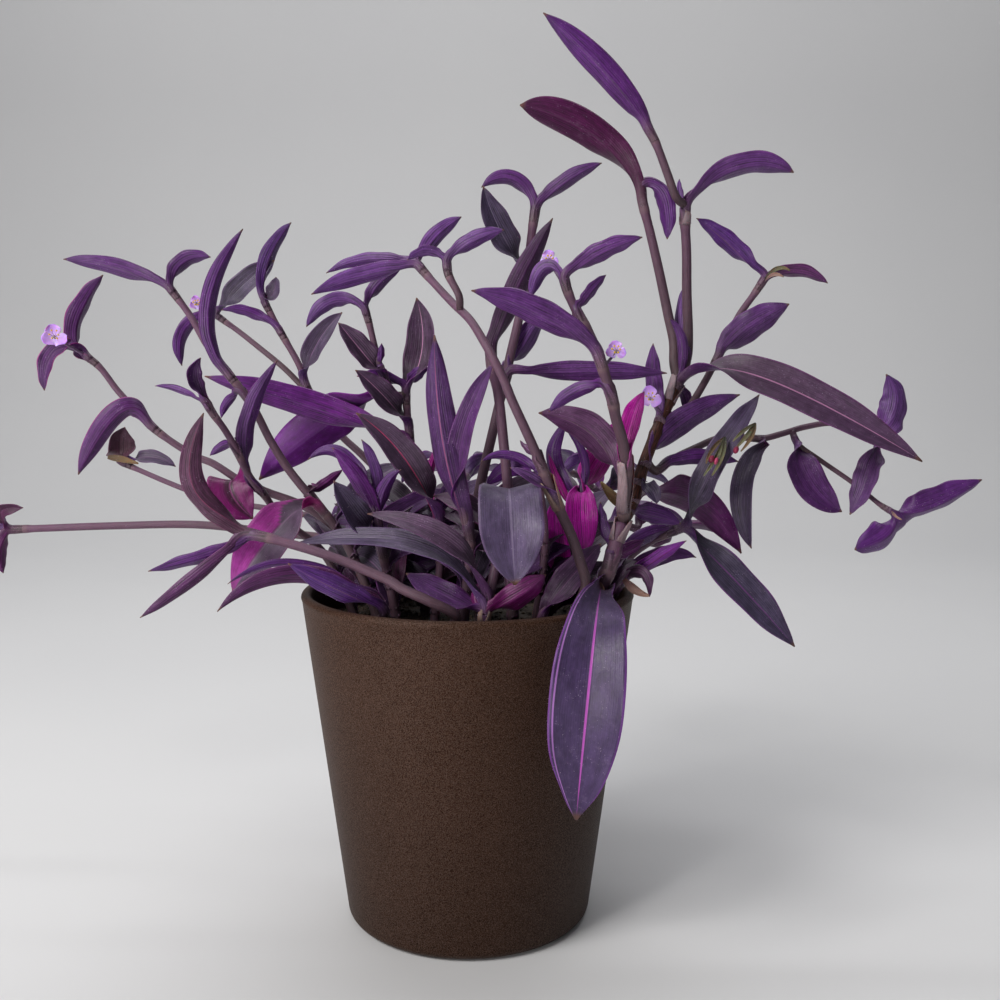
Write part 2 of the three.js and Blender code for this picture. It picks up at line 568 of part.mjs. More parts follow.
// Places, directions and upper sides of the stations along a leaf. Its foot is turned so that its
// upper side faces up the stem that it clasps.
function leafStations(base, growth, leaf, steps) {
  const [, , mx, mz, md, tx, tz, td, , face, , arch] = leaf;
  const middle = seen(mx, mz, base.y + md);
  const tip = seen(tx, tz, base.y + td);
  const spine = (t) => leafSpine(base, middle, tip, arch, Math.min(1, Math.max(0, t)));
  const stations = Array.from({ length: steps + 1 }, (_, k) => {
    const t = k / steps;
    const along = spine(t + 0.02).sub(spine(t - 0.02)).normalize();
    return { t, place: spine(t), along };
  });
  const half = Math.floor(steps / 2);
  const mid = stations[half];
  mid.up = faceDirection(mid.place, mid.along, face);
  for (let k = half + 1; k <= steps; k++) stations[k].up = level(stations[k - 1].up, stations[k].along);
  for (let k = half - 1; k >= 0; k--) stations[k].up = level(stations[k + 1].up, stations[k].along);
  const foot = stations[0];
  const clasp = level(growth, foot.along);
  const turn = Math.atan2(foot.up.clone().cross(clasp).dot(foot.along), foot.up.dot(clasp));
  stations.forEach((s) => {
    s.up.applyAxisAngle(s.along, turn * (1 - smooth(s.t / LEAF.turnReach)));
  });
  return stations;
}

// A keeled blade: at each station two edges, raised by the fold, and a thick middle.
function leafSolid(base, growth, leaf) {
  const [, , , , , , , , width, face, fold] = leaf;
  const plain = width < LEAF.smallWidth || face === null;
  const steps = plain ? LEAF.smallSegments : LEAF.segments;
  const halfWidth = (width / 2) * scaleAt(base.y + leaf[4]);
  const rings = leafStations(base, growth, leaf, steps).map(({ t, place, along, up }) => {
    const across = up.clone().cross(along);
    const half = halfWidth * leafOutline(t);
    const keel = radians(mix(LEAF.baseFold, fold, smooth(t / LEAF.turnReach)));
    const out = half * Math.cos(keel);
    const lift = half * Math.sin(keel);
    const thick = (LEAF.thickness / 2) * (t === 1 ? 0.5 : 1);
    return [
      place.clone().addScaledVector(across, out).addScaledVector(up, lift),
      place.clone().addScaledVector(up, thick),
      place.clone().addScaledVector(across, -out).addScaledVector(up, lift),
      place.clone().addScaledVector(up, -thick),
    ];
  });
  return solidOf(skin(rings));
}

// One rooted stem with its side shoots and leaves, as one body.
function leafyStem(shoots, lines) {
  const solids = [];
  shoots.forEach(([, , , , leaves], s) => {
    const { line } = lines[s];
    const joints = leaves.map(([x, z]) => nearestSeen(line, x, z));
    solids.push(stemSolid(lines[s], joints));
    leaves.forEach((leaf, k) => {
      solids.push(leafSolid(line[joints[k]], directionAt(line, joints[k]), leaf));
    });
  });
  return joined(solids);
}

// Repeatable random numbers from 0 to 1.
function randomFrom(seed) {
  let state = seed;
  return () => {
    state = (Math.imul(state, 1664525) + 1013904223) >>> 0;
    return state / 2 ** 32;
  };
}

// A place at a turn round the pot's axis, a radius and a height.
function around(turn, radius, height) {
  return vec(radius * Math.cos(radians(turn)), radius * Math.sin(radians(turn)), height);
}

// One stem over the back of the pot, in the layout's own form.
function backStem(index, random) {
  const turn = BACK.firstTurn + index * BACK.turnStep;
  const raise = index % 2 === 0 ? 0 : BACK.raised;
  const stray = () => (random() - 0.5) * BACK.wander;
  const places = BACK.radii.map((radius, j) => {
    const rise = raise * smooth((j + 1) / 2);
    return around(turn + stray(), radius, BACK.heights[j] + rise + stray());
  });
  const leaves = places.slice(1).flatMap((place, j) => {
    const last = j === places.length - 2;
    const sides = last ? [-1, 1] : [j % 2 === 0 ? 1 : -1];
    return sides.map((side) => {
      const length = BACK.leafLength * (0.85 + 0.25 * random());
      const away = around(turn + side * BACK.leafTurn, length, 0);
      const middle = place.clone().addScaledVector(away, 0.5);
      middle.z += BACK.leafRise;
      const tip = place.clone().add(away);
      tip.z -= BACK.leafDrop * random();
      const [bx, bz] = seenFrom(place);
      const [mx, mz] = seenFrom(middle);
      const [tx, tz] = seenFrom(tip);
      const width = (BACK.leafWidth * (0.85 + 0.3 * random())) / scaleAt(middle.y);
      return [bx, bz, mx, mz, middle.y - place.y, tx, tz, tip.y - place.y, width, null, 18, 0];
    });
  });
  const root = around(turn, BACK.rootRadius, 0);
  return [[[root.x, root.y], places.map(seenFrom), BACK.footRadius, BACK.tipRadius, leaves]];
}

function wholePlant() {
  const random = randomFrom(BACK.seed);
  const plant = { ...PLANT };
  for (let i = 0; i < BACK.count; i++) plant[`stem_back_${i + 1}`] = backStem(i, random);
  return plant;
}

// ---------------------------------------------------------------- blooms

// One petal: an oval blade from the bloom's heart, cupped a little towards its opening.
function petalSolid(centre, out, opening, radius) {
  const across = opening.clone().cross(out);
  const half = BLOOM.petalThickness / 2;
  const rings = [0.2, 0.6, 1].map((t) => {
    const width = radius * 0.62 * Math.sin(Math.PI * Math.min(0.93, 0.12 + 0.78 * t));
    const place = centre.clone().addScaledVector(out, radius * t);
    place.addScaledVector(opening, radius * 0.3 * t * t);
    return [
      place.clone().addScaledVector(across, width),
      place.clone().addScaledVector(opening, half),
      place.clone().addScaledVector(across, -width),
      place.clone().addScaledVector(opening, -half),
    ];
  });
  return solidOf(skin(rings));
}

function bloomSolid(plantLines, [host, shoot, hx, hz, cx, cz, depth, radius]) {
  const carrier = plantLines[host][shoot];
  const joint = nearestSeen(carrier.line, hx, hz);
  const foot = carrier.line[joint];
  const centre = seen(cx, cz, foot.y + depth);
  const reach = centre.clone().sub(foot).normalize();
  const start = foot.clone().addScaledVector(reach, stemRadius(carrier, joint, []) + BLOOM.gap);
  const stalk = {
    line: fineLine([start, centre]),
    collar: 0,
    footRadius: BLOOM.stalkRadius,
    tipRadius: BLOOM.stalkRadius,
  };
  const toEye = vec(EYE.x, -EYE.distance, EYE.z).sub(centre).normalize();
  const opening = toEye.clone().addScaledVector(SKY, 0.35).normalize();
  const first = level(SKY, opening);
  const heart = new THREE.IcosahedronGeometry(BLOOM.heartRadius, 0).translate(...centre.toArray());
  const petals = Array.from({ length: BLOOM.petals }, (_, k) => {
    const out = first.clone().applyAxisAngle(opening, (2 * Math.PI * k) / BLOOM.petals);
    return petalSolid(centre, out, opening, radius);
  });
  return joined([stemSolid(stalk, [], BLOOM.stalkSides), solidOf(heart), ...petals]);
}

// ---------------------------------------------------------------- pot and soil

function potRadius(z) {
  return mix(POT.baseRadius, POT.rimRadius, z / POT.height);
}

// Quarter-round corner points between two directions of a lathe profile.
function corner(cx, cz, radius, from, to) {
  return [0, 1, 2, 3].map((k) => {
    const turn = radians(mix(from, to, k / 3));
    return new THREE.Vector2(cx + radius * Math.cos(turn), cz + radius * Math.sin(turn));
  });
}

function potGeometry() {
  const { height, rimRadius, baseRadius, wall, floor, footRound, lipRound, sides } = POT;
  const innerFloor = potRadius(floor) - wall;
  const profile = [
    new THREE.Vector2(0, 0),
    ...corner(baseRadius - footRound, footRound, footRound, -90, 0),
    ...corner(rimRadius - lipRound, height - lipRound, lipRound, 0, 180),
    new THREE.Vector2(innerFloor, floor),
    new THREE.Vector2(0, floor),
  ];
  return new THREE.LatheGeometry(profile, sides).rotateX(Math.PI / 2);
}

function soilGeometry() {
  const bottom = POT.floor + SOIL.gap;
  const side = (z) => potRadius(z) - POT.wall - SOIL.gap * 1.5;
  const profile = [
    new THREE.Vector2(0, bottom),
    new THREE.Vector2(side(bottom), bottom),
    new THREE.Vector2(side(SOIL.top - SOIL.crown), SOIL.top - SOIL.crown),
    new THREE.Vector2(side(SOIL.top) * SOIL.crownShare, SOIL.top),
    new THREE.Vector2(0, SOIL.top),
  ];
  return new THREE.LatheGeometry(profile, POT.sides).rotateX(Math.PI / 2);
}

function rootHole(x, y, radius) {
  const depth = SOIL.rootDepth + HOLE.gap;
  const length = depth + HOLE.overcut;
  const hole = new THREE.CylinderGeometry(radius, radius, length, HOLE.sides);
  hole.rotateX(Math.PI / 2);
  hole.translate(x, y, SOIL.top - depth + length / 2);
  return solidOf(hole);
}

function soilSolid(plant) {
  const fit = Math.cos(Math.PI / HOLE.sides);
  return Object.values(plant).reduce((soil, shoots) => {
    const [[x, y], , footRadius] = shoots[0];
    return soil.subtract(rootHole(x, y, (footRadius + HOLE.gap) / fit));
  }, solidOf(soilGeometry()));
}

// ---------------------------------------------------------------- the whole

const group = new THREE.Group();

function add(name, geometry, materialName) {
  const mesh = new THREE.Mesh(geometry, material(materialName));
  mesh.name = name;
  group.add(mesh);
}

const plant = wholePlant();
const plantLines = Object.fromEntries(
  Object.entries(plant).map(([name, shoots]) => [name, shootLines(shoots)]),
);

add("pot", potGeometry(), "pot");
add("soil", geometryOf(soilSolid(plant)), "soil");
Object.entries(plant).forEach(([name, shoots]) => {
  add(name, geometryOf(leafyStem(shoots, plantLines[name])), "stem");
});
Object.entries(BLOOMS).forEach(([name, bloom]) => {
  add(name, geometryOf(bloomSolid(plantLines, bloom)), "bloom");
});

export default group;
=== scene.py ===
import math

import bmesh
import bpy
import numpy as np
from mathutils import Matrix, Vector


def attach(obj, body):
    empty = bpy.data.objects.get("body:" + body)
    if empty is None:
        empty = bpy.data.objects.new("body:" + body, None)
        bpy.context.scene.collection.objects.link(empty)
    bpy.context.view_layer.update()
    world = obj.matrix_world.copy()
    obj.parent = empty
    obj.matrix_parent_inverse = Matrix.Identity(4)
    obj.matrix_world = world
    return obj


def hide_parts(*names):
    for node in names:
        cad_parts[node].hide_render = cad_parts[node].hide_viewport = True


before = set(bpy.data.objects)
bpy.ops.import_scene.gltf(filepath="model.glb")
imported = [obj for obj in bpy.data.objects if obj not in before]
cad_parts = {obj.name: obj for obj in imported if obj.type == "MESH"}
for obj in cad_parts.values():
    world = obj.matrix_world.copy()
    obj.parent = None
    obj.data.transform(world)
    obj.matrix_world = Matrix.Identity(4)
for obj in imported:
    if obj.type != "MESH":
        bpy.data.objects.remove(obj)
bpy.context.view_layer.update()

MM = 0.001

# ------------------------------------------------------------------ sizes, in millimetres

POT = {"height": 165, "rim_radius": 82.5, "base_radius": 61, "wall": 5, "floor": 8,
       "foot_round": 4, "lip_round": 2.5}
SOIL = {"top": 147, "crown": 3, "root_depth": 25, "collar": 3, "gap": 0.45}

# The plant is laid out as seen from the front: a place is [x, z, y], where x and z are read on the
# upright plane through the pot's axis, and y is the depth away from the eye.
EYE = {"x": 16, "z": 270, "distance": 560}
LEAN = {"from": 165, "to": 300, "gain": 1.9}

CAMERA = {"tilt": 6.23, "lens": 40.82, "sensor": 36}

STEM = {"sides": 14, "step": 1.6, "swell": 0.17, "swell_reach": 2.6}
LEAF = {
    "stations": 46, "across": 19, "sheath_stations": 7, "thickness": 0.75, "rib": 0.5,
    "widest_at": 0.42, "base_share": 0.42, "tip_share": 0.035, "tip_power": 2.7,
    "turn_reach": 0.4, "clasp_reach": 0.2, "clasp_length": 12, "clasp_turn": 2.3,
    "arch_gain": 32 / 3, "face_open": 0.35, "width_gain": 1.08,
    "hairy_edge": 0.93, "grain_offset": 900, "lightness": [0.86, 1.14], "dry_end": 0.35,
}
# The sheath below a leaf: its length, and that of a woody stem's, and how far it wraps the stem.
SHEATH = {"least": 2.0, "gain": 2.4, "woody_share": 0.3, "turn": 2.95, "thickness": 0.35}

PLANT = {
    "stem_right_main": [
        [[57, -27], [[68, 168, -32], [71, 176, -31], [74, 188, -28], [77.5, 199, -24]], 3.6, 3.3, [
            [66, 166, 62, 122, -50, 55, 44, -43, 37, 8, 10, 3, "banded"],
            [69, 183, 67, 195, 8, 66, 208, 10, 7, 120, 20, 0, "violet"],
            [73, 182, 81, 184, 10, 88, 189, 14, 8, 150, 20, 0, "maroon"]]],
        [0, [[82, 209, -18], [86, 223, -12], [91, 237, -5], [96, 250, 1], [101, 262, 5],
          [103.5, 268, 7]], 3.0, 2.8, [
            [104, 266, 155, 262, -12, 225, 228, -24, 19, 30, 14, 5, "slate_pink"],
            [85, 228, 106, 247, 13, 134, 261, 19, 14, 150, 20, 0, "violet"],
            [82, 210, 112, 209, 34, 136.5, 182, 38, 18, 145, 15, 0, "maroon"],
            [80, 204, 93, 201, 8, 106, 197, 12, 11, 150, 20, 0, "dusk"],
            [86, 218, 91, 214, -7, 94, 207, -9, 8, 30, 15, 0, "grey"],
            [95, 249, 91, 268, 6, 91, 286, 8, 9, 150, 15, 0, "violet"],
            [103, 265, 107, 260, 5, 108, 251, 7, 6, 150, 15, 0, "violet"],
            [104, 268, 105, 286, -3, 98.5, 298, -4, 5.5, 160, 20, 0, "violet"]]],
        [1, [[101.5, 276, 8], [101, 287, 9], [98, 300, 10], [93.5, 320, 11], [88.5, 340, 12],
          [85, 353, 12], [84, 360, 12]], 2.6, 2.2, [
            [84, 357, 56, 386, -6, 25.5, 399, -10, 17, 160, 20, 3, "wine"],
            [84.5, 360, 93.5, 357, -5, 97, 336, -8, 10, 150, 20, 0, "dusk"]]],
        [1, [[107.5, 279, 9], [108, 290, 10], [107, 310, 10], [106.5, 330, 10], [105.5, 345, 9],
          [105.5, 352, 8]], 2.6, 2.3, [
            [106, 351, 130, 369, -4, 157.5, 367.5, -6, 13.5, 125, 22, 0, "violet"],
            [105, 351, 102.5, 358, 3, 102.5, 364.5, 4, 4, 120, 10, 0, "mauve"],
            [107.5, 280, 103, 297, 5, 106, 314, 6, 6, 120, 15, 0, "mauve"]]],
        [3, [[101, 356, 4], [97, 366, 3], [91, 381, 2], [86, 390, 2]], 2.1, 1.9, [
            [87, 388, 66, 414, -4, 36.5, 441.5, -6, 13.5, 160, 20, 0, "dusk"]]],
        [1, [[104, 248, 4], [110, 256, 6], [117, 268, 9], [122, 278, 11], [128, 290, 12],
          [133, 300, 12], [140, 310, 12], [144.5, 317, 12]], 1.9, 1.7, [
            [123, 281, 137, 293, -2, 157, 305, -4, 15, 155, 15, 0, "violet"],
            [144.5, 317, 125, 335.5, -3, 111, 346, -5, 10, 145, 15, 0, "slate"],
            [144.5, 316, 160, 320, -3, 175.5, 315, -5, 8.5, 120, 20, 0, "maroon_violet"]]],
        [0, [[77.5, 207, -27], [78.5, 218, -29], [78, 230, -30], [76, 240, -31], [73, 250, -32],
          [71, 260, -33], [67, 272, -33], [64, 281, -33], [59, 292, -31], [53, 302, -29],
          [49, 311, -28], [47, 318, -28]], 3.0, 1.9, [
            [64, 281, 35, 300, -10, 2, 311.5, -14, 15.5, 155, 20, 0, "violet"],
            [54, 301, 60, 310, 4, 67.5, 319, 8, 7, 120, 15, 0, "violet"],
            [47, 317, 64, 328.5, -3, 85, 337, -4, 11, 140, 20, 0, "violet"],
            [47, 317, 38, 322, 2, 31, 308, 4, 8, 150, 20, 0, "mauve"],
            [79, 231, 81, 249, 6, 87, 262.5, 8, 10, 20, 12, 0, "pink"],
            [78, 211, 63, 240, 8, 35, 252, 12, 18, 145, 15, 0, "umber"],
            [70, 264, 55, 263, 5, 40, 252.5, 8, 8, 150, 20, 0, "dusk"]]],
        [1, [[93, 223.5, -6], [100, 228.5, 0], [112, 234.5, 6], [124, 239.5, 11], [135, 240, 14],
          [146, 239.5, 16], [156, 242, 18], [166, 245, 19], [180, 247, 20], [192, 244, 19],
          [201, 239, 18]], 2.0, 1.4, [
            [97, 226, 113, 229.5, 2, 134, 228, 4, 9, 140, 20, 0, "dusk"],
            [146, 239, 136.5, 214, -8, 141.5, 184.5, -10, 11.5, 30, 15, 0, "blue_slate"],
            [201, 239, 211, 256, 4, 205.5, 271, 8, 15, 150, 20, 0, "mauve"],
            [201, 239, 198, 219, -9, 190, 201.5, -11, 13, 40, 15, 0, "violet"]]],
        [7, [[163, 237, 18], [174, 229, 19], [189.5, 218.5, 19], [198, 212, 17], [205, 206.5, 15],
          [210, 203.5, 15]], 1.3, 1.2, [
            [160, 239, 167, 219, -7, 186, 203, -9, 17, 35, 12, 3, "dusk"],
            [210, 203.5, 229, 204.5, -2, 255, 219, -3, 18, 115, 25, 0, "dusk"],
            [210, 203.5, 210.5, 192, -2, 193, 184, -3, 18, 120, 25, 0, "dusk"]]],
    ],
    "stem_center": [
        [[46, -43], [[59, 165, -44], [56, 178, -44], [52, 190, -44], [47, 201, -43],
          [42, 212, -42], [38, 222, -41], [33, 234, -40], [28, 245, -39], [22, 258, -37],
          [18, 268, -35], [13, 278, -33], [8, 287, -30], [1.3, 297.4, -26], [-7.3, 305.7, -22],
          [-17, 316, -18], [-24, 324, -16]], 2.8, 1.7, [
            [-24, 323, -52, 318, -4, -76, 309.6, -8, 10, 150, 20, 0, "mauve"],
            [-24, 324, -48, 326, 6, -68.6, 319.8, 8, 7, 140, 20, 0, "mauve"],
            [-24, 324, -15, 337, 5, -2.6, 346.7, 6, 9, 150, 20, 0, "mauve"],
            [41, 214, 24, 230, 5, 6.5, 228, 4, 5.5, 150, 20, 0, "dusk"],
            [42, 212, 31, 220, -5, 21, 225, -5, 6, 40, 20, 0, "violet"],
            [35, 230, 29, 234, 6, 26, 238.5, 8, 4, 120, 20, 0, "umber"]]],
        [0, [[-4, 309, -27], [-9, 319, -26], [-10, 326, -26]], 1.7, 1.6, [
            [-10, 325, -19, 329.5, -2, -29, 326, -4, 7, 120, 20, 0, "mauve"],
            [-10, 325, 2, 334.5, -4, 18, 340.5, -6, 9, 150, 20, 0, "mauve"]]],
    ],
    "stem_shield_leaf": [
        [[22, -26], [[21, 180, -22], [20, 213, -20], [17.5, 240, -18], [15, 262, -16],
          [12, 274, -15], [11.5, 283, -14]], 2.8, 2.3, [
            [20, 205, 21, 203, -36, 23.5, 166, -46, 31, 5, 10, 5, "grey"],
            [11.5, 281, 23, 309, -5, 41.5, 346, -8, 12, 150, 18, 0, "night"],
            [21, 172, 10, 190, 4, 6, 206, 6, 8, 150, 20, 0, "dusk"]]],
    ],
    "stem_grey_blade": [
        [[6, -6], [[3, 190, -4], [4, 203, -4], [6, 215, -4], [9, 228, -3], [12.5, 243, -2],
          [16, 258, 0], [19, 270, 1], [21, 280, 2], [25, 297, 4], [29, 318, 6], [31, 336, 7],
          [33, 350, 8]], 2.8, 2.1, [
            [20, 274, 28, 286, 6, 38, 302, 8, 12, 150, 20, 0, "mauve"],
            [19.5, 271, 56, 272, -3, 98, 271.5, -4, 10.5, 150, 15, 0, "violet"],
            [33, 350, 22, 364, -3, 7, 360.5, -4, 9, 150, 25, 0, "violet"],
            [33, 350, 48, 363, -3, 65, 372, -4, 9, 150, 25, 0, "violet"],
            [29, 318, 15, 342, -9, 8, 361, -11, 14, 30, 12, 0, "grey"]]],
    ],
    "stem_heart": [
        [[40, -6], [[46, 160, -8], [52, 185, -8], [56, 203, -7], [57, 213, -6]], 2.6, 1.9, [
            [57, 212, 56, 200, -13, 58, 180.5, -17, 16, 20, 10, 3, "magenta"],
            [57, 211, 64, 227, 7, 79, 250, 10, 15, 150, 15, 0, "pink"],
            [57, 212, 57, 230, 0, 47, 247, 2, 5, 140, 20, 0, "dusk"],
            [56, 208, 42, 229, 8, 50, 249, 13, 9, 150, 20, 0, "dusk"],
            [53, 200, 46, 215, 2, 40, 232, 4, 4.5, 140, 20, 0, "rose"],
            [47, 164, 43.5, 188, -6, 44, 212, -9, 13, 20, 12, 0, "magenta"]]],
    ],
    "stem_mauve": [
        [[33, -20], [[37, 170, -22], [38.5, 186, -23], [38, 200, -23], [36, 212, -22],
          [35, 217, -22]], 1.9, 1.6, [
            [35, 216, 24, 225, 10, 9, 216, 12, 10, 150, 20, 0, "dusk"]]],
    ],
    "stem_front": [
        [[8, -50], [[8.5, 152, -52], [10.5, 160, -50], [13, 172, -47], [15, 182, -42],
          [16, 192, -38]], 2.8, 2.0, [
            [9, 156, -14, 188, -8, -50, 202, -2, 12, 35, 14, 4, "umber_slate"],
            [8.5, 152, -34, 184, 4, -86, 187, 16, 11.5, 40, 14, 6, "blue_slate"],
            [8.5, 151, -13, 161, 5, -31, 172, 9, 14, 35, 15, 0, "dusk"],
            [9, 152, 3.5, 159, 3, 7, 168, 5, 6, 150, 20, 0, "rose_dark"],
            [9, 152, 25, 160, -3, 39, 171.5, -3, 14, 150, 15, 0, "rose_dark"],
            [15.5, 188, 22, 200, 3, 26, 209, 4, 8, 150, 15, 0, "dusk"]]],
    ],
    "stem_front_right": [
        [[34, -35], [[37, 150, -35], [39, 155, -35]], 2.4, 2.0, [
            [38, 152, 51, 169, 2, 66.5, 187, 6, 15, 35, 10, 0, "striped"]]],
    ],
    "stem_front_left": [
        [[-8, -50], [[-6, 150, -57], [-20, 158, -61], [-33, 164, -59], [-40, 168.5, -57],
          [-70, 181, -51], [-100, 190, -45], [-109, 192, -43]], 2.6, 2.1, [
            [-109, 192, -136, 213, -7, -130, 252, -10, 12, 150, 15, 3, "umber_pink"],
            [-106, 191, -125, 182, -2, -160, 173, -4, 9, 120, 15, 0, "dusk"],
            [-109, 191, -140, 167, -8, -165, 149.3, -12, 8, 150, 20, 0, "maroon_violet"]]],
    ],
    "stem_over_rim": [
        [[-40, -40], [[-42, 152, -48], [-44, 157, -50]], 2.4, 2.0, [
            [-43, 154, -66, 164, -15, -90, 177, -22, 11.5, 150, 12, 0, "slate"],
            [-44, 156, -88, 171, -16, -126, 152.5, -26, 10, 150, 15, 0, "maroon_violet"],
            [-44, 157, -85, 176.5, -2, -120.5, 166.5, -6, 5.5, 120, 15, 0, "dusk"]]],
    ],
    "stem_violet_blade": [
        [[-2, -24], [[0, 170, -24], [1, 188, -23], [-1, 200, -22], [-3, 208, -21]], 2.8, 2.3, [
            [0, 195, -12, 237, -7, -16, 290, -9, 16, 150, 18, 0, "dusk_pink"],
            [-2, 204, -3, 238, -6, 13, 277, -11, 12, 35, 18, 0, "dusk"]]],
    ],
    "stem_red_rib": [
        [[-16, -12], [[-14, 175, -12], [-14, 193, -12], [-15, 200, -11]], 2.4, 2.0, [
            [-14, 195, -31, 229, -9, -55, 252, -13, 17, 30, 18, 0, "red_rib"],
            [-14, 197, -11, 210, 4, -4, 221, 6, 8, 150, 20, 0, "dusk"],
            [-15, 200, -19, 220, 8, -11, 240, 10, 5, 150, 20, 0, "rose"]]],
    ],
    "stem_left_heart": [
        [[-34, -22], [[-40, 170, -24], [-44, 188, -25], [-45, 200, -25],
          [-46, 206, -25]], 2.4, 1.9, [
            [-45, 200, -55, 219, -8, -67, 235, -11, 9.5, 150, 18, 0, "bright"],
            [-46, 205, -62, 231, 4, -79, 229, 6, 8, 150, 25, 0, "dusk"],
            [-46, 205, -46, 222, 2, -52.4, 239, 3, 7, 140, 20, 0, "mauve"],
            [-44, 196, -41, 214, -5, -33, 224, -8, 8, 150, 20, 0, "dusk"],
            [-43, 186, -57, 203, -14, -66.5, 218.5, -17, 15, 40, 15, 0, "blue_slate"]]],
    ],
    "stem_middle_left": [
        [[-22, 8], [[-24, 180, 6], [-25, 205, 5], [-27, 225, 4], [-28.5, 241, 3], [-30, 256, 2],
          [-30.3, 265, 2]], 2.6, 1.7, [
            [-30, 264, -41, 269, -4, -54.3, 270, -6, 7, 140, 20, 0, "dusk"],
            [-30, 264, -24, 271, 2, -19, 274, 3, 7, 150, 20, 0, "dusk"],
            [-28.5, 245, -42, 261, -11, -55, 273, -16, 13, 35, 18, 0, "slate_pink"],
            [-29.5, 262, -22, 284, 5, -24.7, 308, 6, 16, 35, 18, 0, "slate_pink"],
            [-28, 238, -80, 256, -8, -129, 270, -10, 15, 150, 15, 0, "bright"]]],
        [0, [[-36, 261, 0], [-42, 272, -1], [-45, 283, -2], [-47.5, 294, -3],
          [-50, 303, -4]], 1.8, 1.5, [
            [-50, 302, -65, 306, -3, -78.6, 294, -4, 9, 150, 25, 0, "mauve"],
            [-50, 302, -43, 314, 3, -32, 322, 4, 8, 150, 25, 0, "violet"],
            [-38, 264, -74, 243, 12, -103.4, 219, 17, 24, 150, 15, 0, "bright"],
            [-41, 269, -51, 281, -5, -63, 296, -7, 12.5, 35, 18, 0, "slate_pink"],
            [-43, 275, -42, 281, -3, -42, 286, -4, 4, 150, 20, 0, "dusk"]]],
    ],
    "stem_left_grey": [
        [[-26, 30], [[-28, 190, 30], [-31, 208, 29], [-38.5, 217, 28], [-53, 232, 27],
          [-62.5, 241, 27], [-72, 254, 27], [-79, 265, 26], [-82.3, 275, 26], [-89.7, 288.7, 26],
          [-97.7, 303.7, 26], [-100, 309, 26]], 2.4, 1.6, [
            [-100, 308, -96, 327, 0, -85, 344, 0, 9, 140, 22, 0, "slate"],
            [-98.5, 306, -94, 311, -3, -93, 318, -4, 8, 40, 20, 0, "slate"],
            [-92, 293, -107, 301, -3, -120, 302, -5, 6, 150, 20, 0, "dusk"],
            [-80, 267, -74, 285, -7, -61, 301, -9, 11, 35, 20, 0, "slate"]]],
        [0, [[-79, 263, 27], [-90, 274, 27], [-102, 284, 28], [-112, 292, 29], [-119, 297, 29],
          [-126, 302, 30]], 1.6, 1.4, [
            [-122, 299, -110, 313, -3, -93.5, 326, -5, 11.5, 35, 15, 0, "blue_slate"],
            [-125, 299, -138, 292, -3, -140, 275, -4, 8, 140, 20, 0, "dusk"]]],
    ],
    "stem_left_tall": [
        [[-44, -14], [[-60, 186, -15], [-75, 207, -15], [-83, 216.6, -15], [-90, 226, -15],
          [-98, 239.5, -15], [-104, 252, -15], [-109.5, 261, -15], [-118, 272, -14],
          [-127.6, 285.5, -13], [-135, 299, -12], [-145, 313, -12]], 2.6, 1.5, [
            [-145, 312, -170, 322, -3, -196, 326.5, -5, 9.5, 150, 22, 0, "violet"],
            [-145, 312, -138, 324.5, 3, -124.5, 327.5, 4, 9.5, 140, 22, 0, "violet"],
            [-118, 272, -126, 303, -4, -108.4, 341, -6, 9, 150, 20, 0, "dusk"],
            [-75, 207, -99, 187, -13, -118, 162, -19, 24, 35, 12, 3, "half_magenta"],
            [-80, 212, -72, 216, 5, -62, 224, 8, 5.5, 150, 20, 0, "maroon"],
            [-111, 263, -118, 257, 5, -121.4, 249.5, 7, 5, 150, 20, 0, "dusk"]]],
    ],
    "stem_left_long": [
        [[-48, 12], [[-62, 190, 12], [-80, 205, 10], [-100, 213, 8], [-112, 218, 7],
          [-126, 227, 6], [-135.5, 231, 6], [-152.5, 242.5, 5], [-162, 252, 5], [-172, 263, 5],
          [-180, 274, 5], [-187, 280, 5]], 2.5, 1.5, [
            [-187, 279, -191, 294, 3, -177, 319, 5, 11.5, 125, 25, 0, "violet_edge"],
            [-187, 279, -201, 282, -4, -208, 263, -6, 11, 60, 25, 0, "violet_edge"],
            [-156, 246, -173, 249, -6, -193, 221.5, -9, 12, 150, 22, 3, "violet_edge"],
            [-111, 218, -118, 213, -9, -107, 199.5, -12, 21, 15, 8, 2, "magenta_slit"]]],
    ],
    "stem_left_slender": [
        [[-56, -10], [[-72, 182, -9], [-88, 196, -9], [-95.5, 203, -12], [-100.7, 211, -17],
          [-105, 216, -21], [-110, 224, -23], [-114.4, 234, -25], [-120, 244, -26],
          [-125.6, 252, -27], [-130, 260, -27]], 2.2, 1.5, [
            [-130, 259, -135, 270, -2, -130.6, 279, -3, 9, 40, 20, 0, "dusk"],
            [-128, 256, -142, 263, 4, -153.5, 265.3, 6, 4.5, 120, 20, 0, "dusk"],
            [-104, 215, -109, 243, -6, -93, 278, -8, 9.5, 150, 18, 0, "violet"],
            [-115, 236, -120, 236, 5, -127.5, 231, 7, 5, 150, 20, 0, "dusk"]]],
    ],
    "stem_left_spent": [
        [[-42, 28], [[-62, 195, 32], [-90, 203, 38], [-120, 208, 42], [-137, 213, 44],
          [-149.6, 218, 45], [-161, 223, 46], [-170, 227, 46]], 1.9, 1.4, [
            [-170, 227, -157, 230, -4, -144.6, 225.5, -5, 7.5, 40, 20, 0, "slate"],
            [-170, 227, -172, 237, -3, -169, 245, -4, 14, 35, 15, 0, "umber"]]],
    ],
    "stem_left_trailing": [
        [[-34, 46], [[-50, 184, 56], [-66, 189, 70], [-100, 193, 92], [-135, 196.5, 100],
          [-175, 196, 105], [-217, 194.5, 108], [-228, 194, 108]], 2.6, 2.2, [
